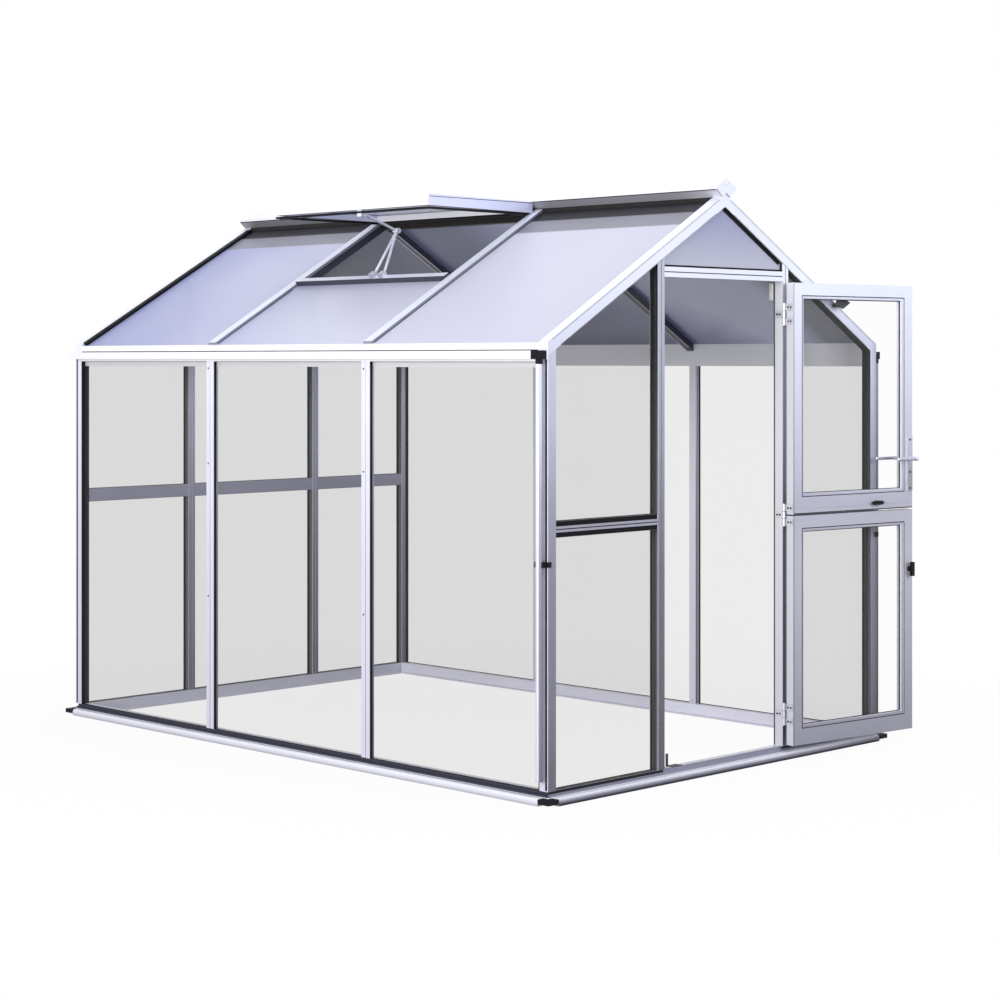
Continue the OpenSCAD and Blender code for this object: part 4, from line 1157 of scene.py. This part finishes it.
# Partly painted shade: the black seal ring shows as the dark strip under the sash.
seal = block("sash_seal", (sash_low.x + 0.004, sash_low.y + 0.004, sash_low.z - 0.009),
             (sash_high.x - 0.02, sash_high.y - 0.004, sash_low.z - 0.0005))
for way in (-1, 1):
    choose(seal, "faces", lambda face: face.normal.z * way > 0.9)
    bpy.ops.mesh.inset(thickness=SEAL_WIDTH)
    bpy.ops.mesh.delete(type="FACE")
    leave_edit()
choose(seal, "edges", lambda edge: edge.is_boundary)
bpy.ops.mesh.bridge_edge_loops()
leave_edit(outwards=True)
settle(seal, seal_black)
for y0, y1, end in ((sash_low.y - 0.0007, sash_low.y - 0.0001, "front"),
                    (sash_high.y + 0.0001, sash_high.y + 0.0007, "rear")):
    strip(f"sash_{end}_line", (sash_low.x + 0.006, y0, sash_high.z - 0.0105),
          (sash_high.x - 0.006, y1, sash_high.z - 0.0080), round_by=0.0002, segments=1)
print("vent seal placed")

# %% [markdown]
# ## Rain water fittings
# Each outlet carries a short black socket into which the downpipe slips, and the pipe's lower end
# has a rolled rim with a hollow foot.

# %% Sockets and rims of the downpipes
PIPE_R = 0.0125
pipe_low, pipe_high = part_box("downpipes")
pipe_y = middle([pipe_low.y, pipe_high.y])
for side, tag in SIDES:
    pipe_x = side * (pipe_high.x - PIPE_R)
    socket = disc(f"pipe_socket_{tag}", (pipe_x, pipe_y, pipe_high.z - 0.009), PIPE_R + 0.0009,
                  0.018, sides=48)
    soften(socket, 0.0006, 2, level)
    settle(socket, black_plastic)
    rim = disc(f"pipe_rim_{tag}", (pipe_x, pipe_y, pipe_low.z + 0.003), PIPE_R + 0.0008,
               0.006, sides=48)
    choose(rim, "faces", lambda face: face.normal.z < -0.9)
    bpy.ops.mesh.inset(thickness=0.0022)
    bpy.ops.mesh.extrude_region_move(TRANSFORM_OT_translate={"value": (0, 0, 0.0024)})
    leave_edit()
    settle(rim, post_metal)
print("rain fittings placed")

# %% [markdown]
# ## Small fittings by the door
# A white plastic striker sits high up just behind the hinge jamb, 1.5 mm clear of it, and each
# lever turns in a thin round rose that lies on the long plate.

# %% Striker and roses
STRIKER_FOOT, STRIKER_TOP = 1.881, 1.951
strip("door_striker", (DOOR_HALF - 0.013, FRONT + 0.0445, STRIKER_FOOT),
      (DOOR_HALF - 0.0004, FRONT + 0.062, STRIKER_TOP), white_plastic, round_by=0.002)
lever_z = joints["lever_turn"]["pos_m"][2]
for tag, y, look in (("outer", rose_low.y, -1), ("inner", rose_high.y, 1)):
    rose = disc(f"lever_rose_{tag}", (rose_x, y + look * 0.0002, lever_z), 0.0135, 0.0004,
                (math.pi / 2, 0, 0), 48)
    settle(rose, fitting_metal, "upper_leaf", LEAF)
print("added pieces", len(added))

# %% [markdown]
# ## Joint lines and a painted shadow line
# A black rubber line closes the joint between the gable frame and the side walls at the corners,
# and a black strip of painted shadow lies on the eave rail just above the gutter's rim, where the
# rim shades it.

# %% Corner and gutter lines
LINE_TOP = 1.638
rim_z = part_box("gutters")[1].z
for side, tag in SIDES:
    x0, x1 = sorted((side * (HALF - 0.0002), side * (HALF + 0.0008)))
    for y, end, inward in ((FRONT, "front", 1), (BACK, "rear", -1)):
        y0, y1 = sorted((y + inward * 0.005, y + inward * 0.0145))
        strip(f"{tag}_{end}_corner_line", (x0, y0, SILL_TOP + 0.004), (x1, y1, LINE_TOP),
              round_by=0.0003)
    # Painted shadow: a black strip on the eave rail just above the gutter's rim.
    x0, x1 = sorted((side * (HALF + 0.0002), side * (HALF + 0.0012)))
    strip(f"{tag}_gutter_line", (x0, FRONT + 0.05, rim_z + 0.001),
          (x1, BACK - 0.05, rim_z + 0.0045), round_by=0.0003)
print("joint lines", len(added))

# %% [markdown]
# ## Camera
# The camera stands at eye height off the left front corner, level and turned along the diagonal.
# A level camera keeps the posts upright, and a lens shift instead of a tilt moves the view down.

# %% Place the camera
EYE = Vector((-6.940, -7.201, 1.636))
HEADING = 44.914
SENSOR = 36.0
camera_data = bpy.data.cameras.new("camera")
camera_data.sensor_width = SENSOR
camera_data.lens = 2.2388 * SENSOR
camera_data.shift_y = -0.1401
camera_data.clip_end = 200
camera = bpy.data.objects.new("camera", camera_data)
camera.location = EYE
camera.rotation_euler = (math.radians(90), 0, math.radians(-HEADING))
bpy.context.scene.collection.objects.link(camera)
bpy.context.scene.camera = camera
print("lens", round(camera_data.lens, 1))

# %% [markdown]
# ## White surroundings
# The greenhouse stands in a white studio. The world shows white to the camera and in reflections,
# but lights the building with a dimmer tone, so that the pale bars don't wash out.

# %% World
def white_to_eye(owner):
    """1 for rays that the camera, a mirror or glass sends, 0 for the light on the object."""
    path = owner.node("ShaderNodeLightPath", {}, {}).outputs
    camera_ray, glossy_ray, glass_ray = (
        Value(owner, path[f"Is {kind} Ray"]) for kind in ("Camera", "Glossy", "Transmission"))
    return camera_ray.math("MAXIMUM", glossy_ray).math("MAXIMUM", glass_ray)


bpy.context.scene.view_settings.view_transform = "Standard"
world = bpy.data.worlds.new("studio")
bpy.context.scene.world = world
world.use_nodes = True
world.node_tree.nodes.clear()
sky = NodeTree(world.node_tree)
dim = sky.node("ShaderNodeBackground", {}, {"Color": (0.93, 0.94, 1.0, 1), "Strength": 0.45})
white = sky.node("ShaderNodeBackground", {}, {"Color": (1, 1, 1, 1), "Strength": 1.0})
mixed = sky.node("ShaderNodeMixShader", {}, [white_to_eye(sky), dim.outputs[0], white.outputs[0]])
sky.node("ShaderNodeOutputWorld", {}, [mixed.outputs[0]])
print("world ready")

# %% [markdown]
# ## Floor
# The floor is a wide pale plane. It glows white to the eye and keeps a little of the building's
# shadow close by. The shadow fades out with distance, so that no edge of the floor shows.

# %% Floor
clear_selection()
bpy.ops.mesh.primitive_plane_add(size=60, location=(0, 0, -0.0005))
floor = bpy.context.object
floor.name = "floor"
floor_material = bpy.data.materials.new("floor")
floor_material.use_nodes = True
floor_material.node_tree.nodes.clear()
ground = NodeTree(floor_material.node_tree)
matte = ground.node("ShaderNodeBsdfDiffuse", {}, {"Color": (0.9, 0.9, 0.9, 1)})
strength = ground.node("ShaderNodeMapRange", {}, {"Value": white_to_eye(ground), "To Min": 0.3})
glow = ground.node("ShaderNodeEmission", {}, {
    "Color": (1, 1, 1, 1), "Strength": strength.outputs[0]})
spot = ground.node("ShaderNodeTexCoord", {}, {}).outputs["Object"]
distance = ground.node("ShaderNodeVectorMath", {"operation": "LENGTH"}, [spot])
spread = ground.node("ShaderNodeMapRange", {}, {
    "Value": distance.outputs["Value"], "From Min": 1.5, "From Max": 3.2, "To Min": 0.93,
    "To Max": 1.0})
both = ground.node("ShaderNodeMixShader", {}, [spread.outputs[0], matte.outputs[0],
                                               glow.outputs[0]])
ground.node("ShaderNodeOutputMaterial", {}, [both.outputs[0]])
floor.data.materials.append(floor_material)
print("floor ready")

# %% [markdown]
# ## Soft lamps
# Three large discs give soft light: a low key lamp on the left that brightens the long wall, a
# weaker one in front of the gable and a faint one above. Large lamps make soft shadows.

# %% Lamps
def lamp(name, place, aim, size, power):
    data = bpy.data.lights.new(name, "AREA")
    data.shape = "DISK"
    data.size = size
    data.energy = power
    light = bpy.data.objects.new(name, data)
    light.location = place
    light.rotation_euler = (Vector(aim) - Vector(place)).to_track_quat("-Z", "Y").to_euler()
    bpy.context.scene.collection.objects.link(light)


lamp("key", (-9, -2.5, 2.0), (0, 0, 1.1), 4.5, 640)
lamp("front", (2, -10, 4), (0, 0, 1.1), 5, 500)
lamp("top", (0, 0, 8), (0, 0, 1), 6, 190)
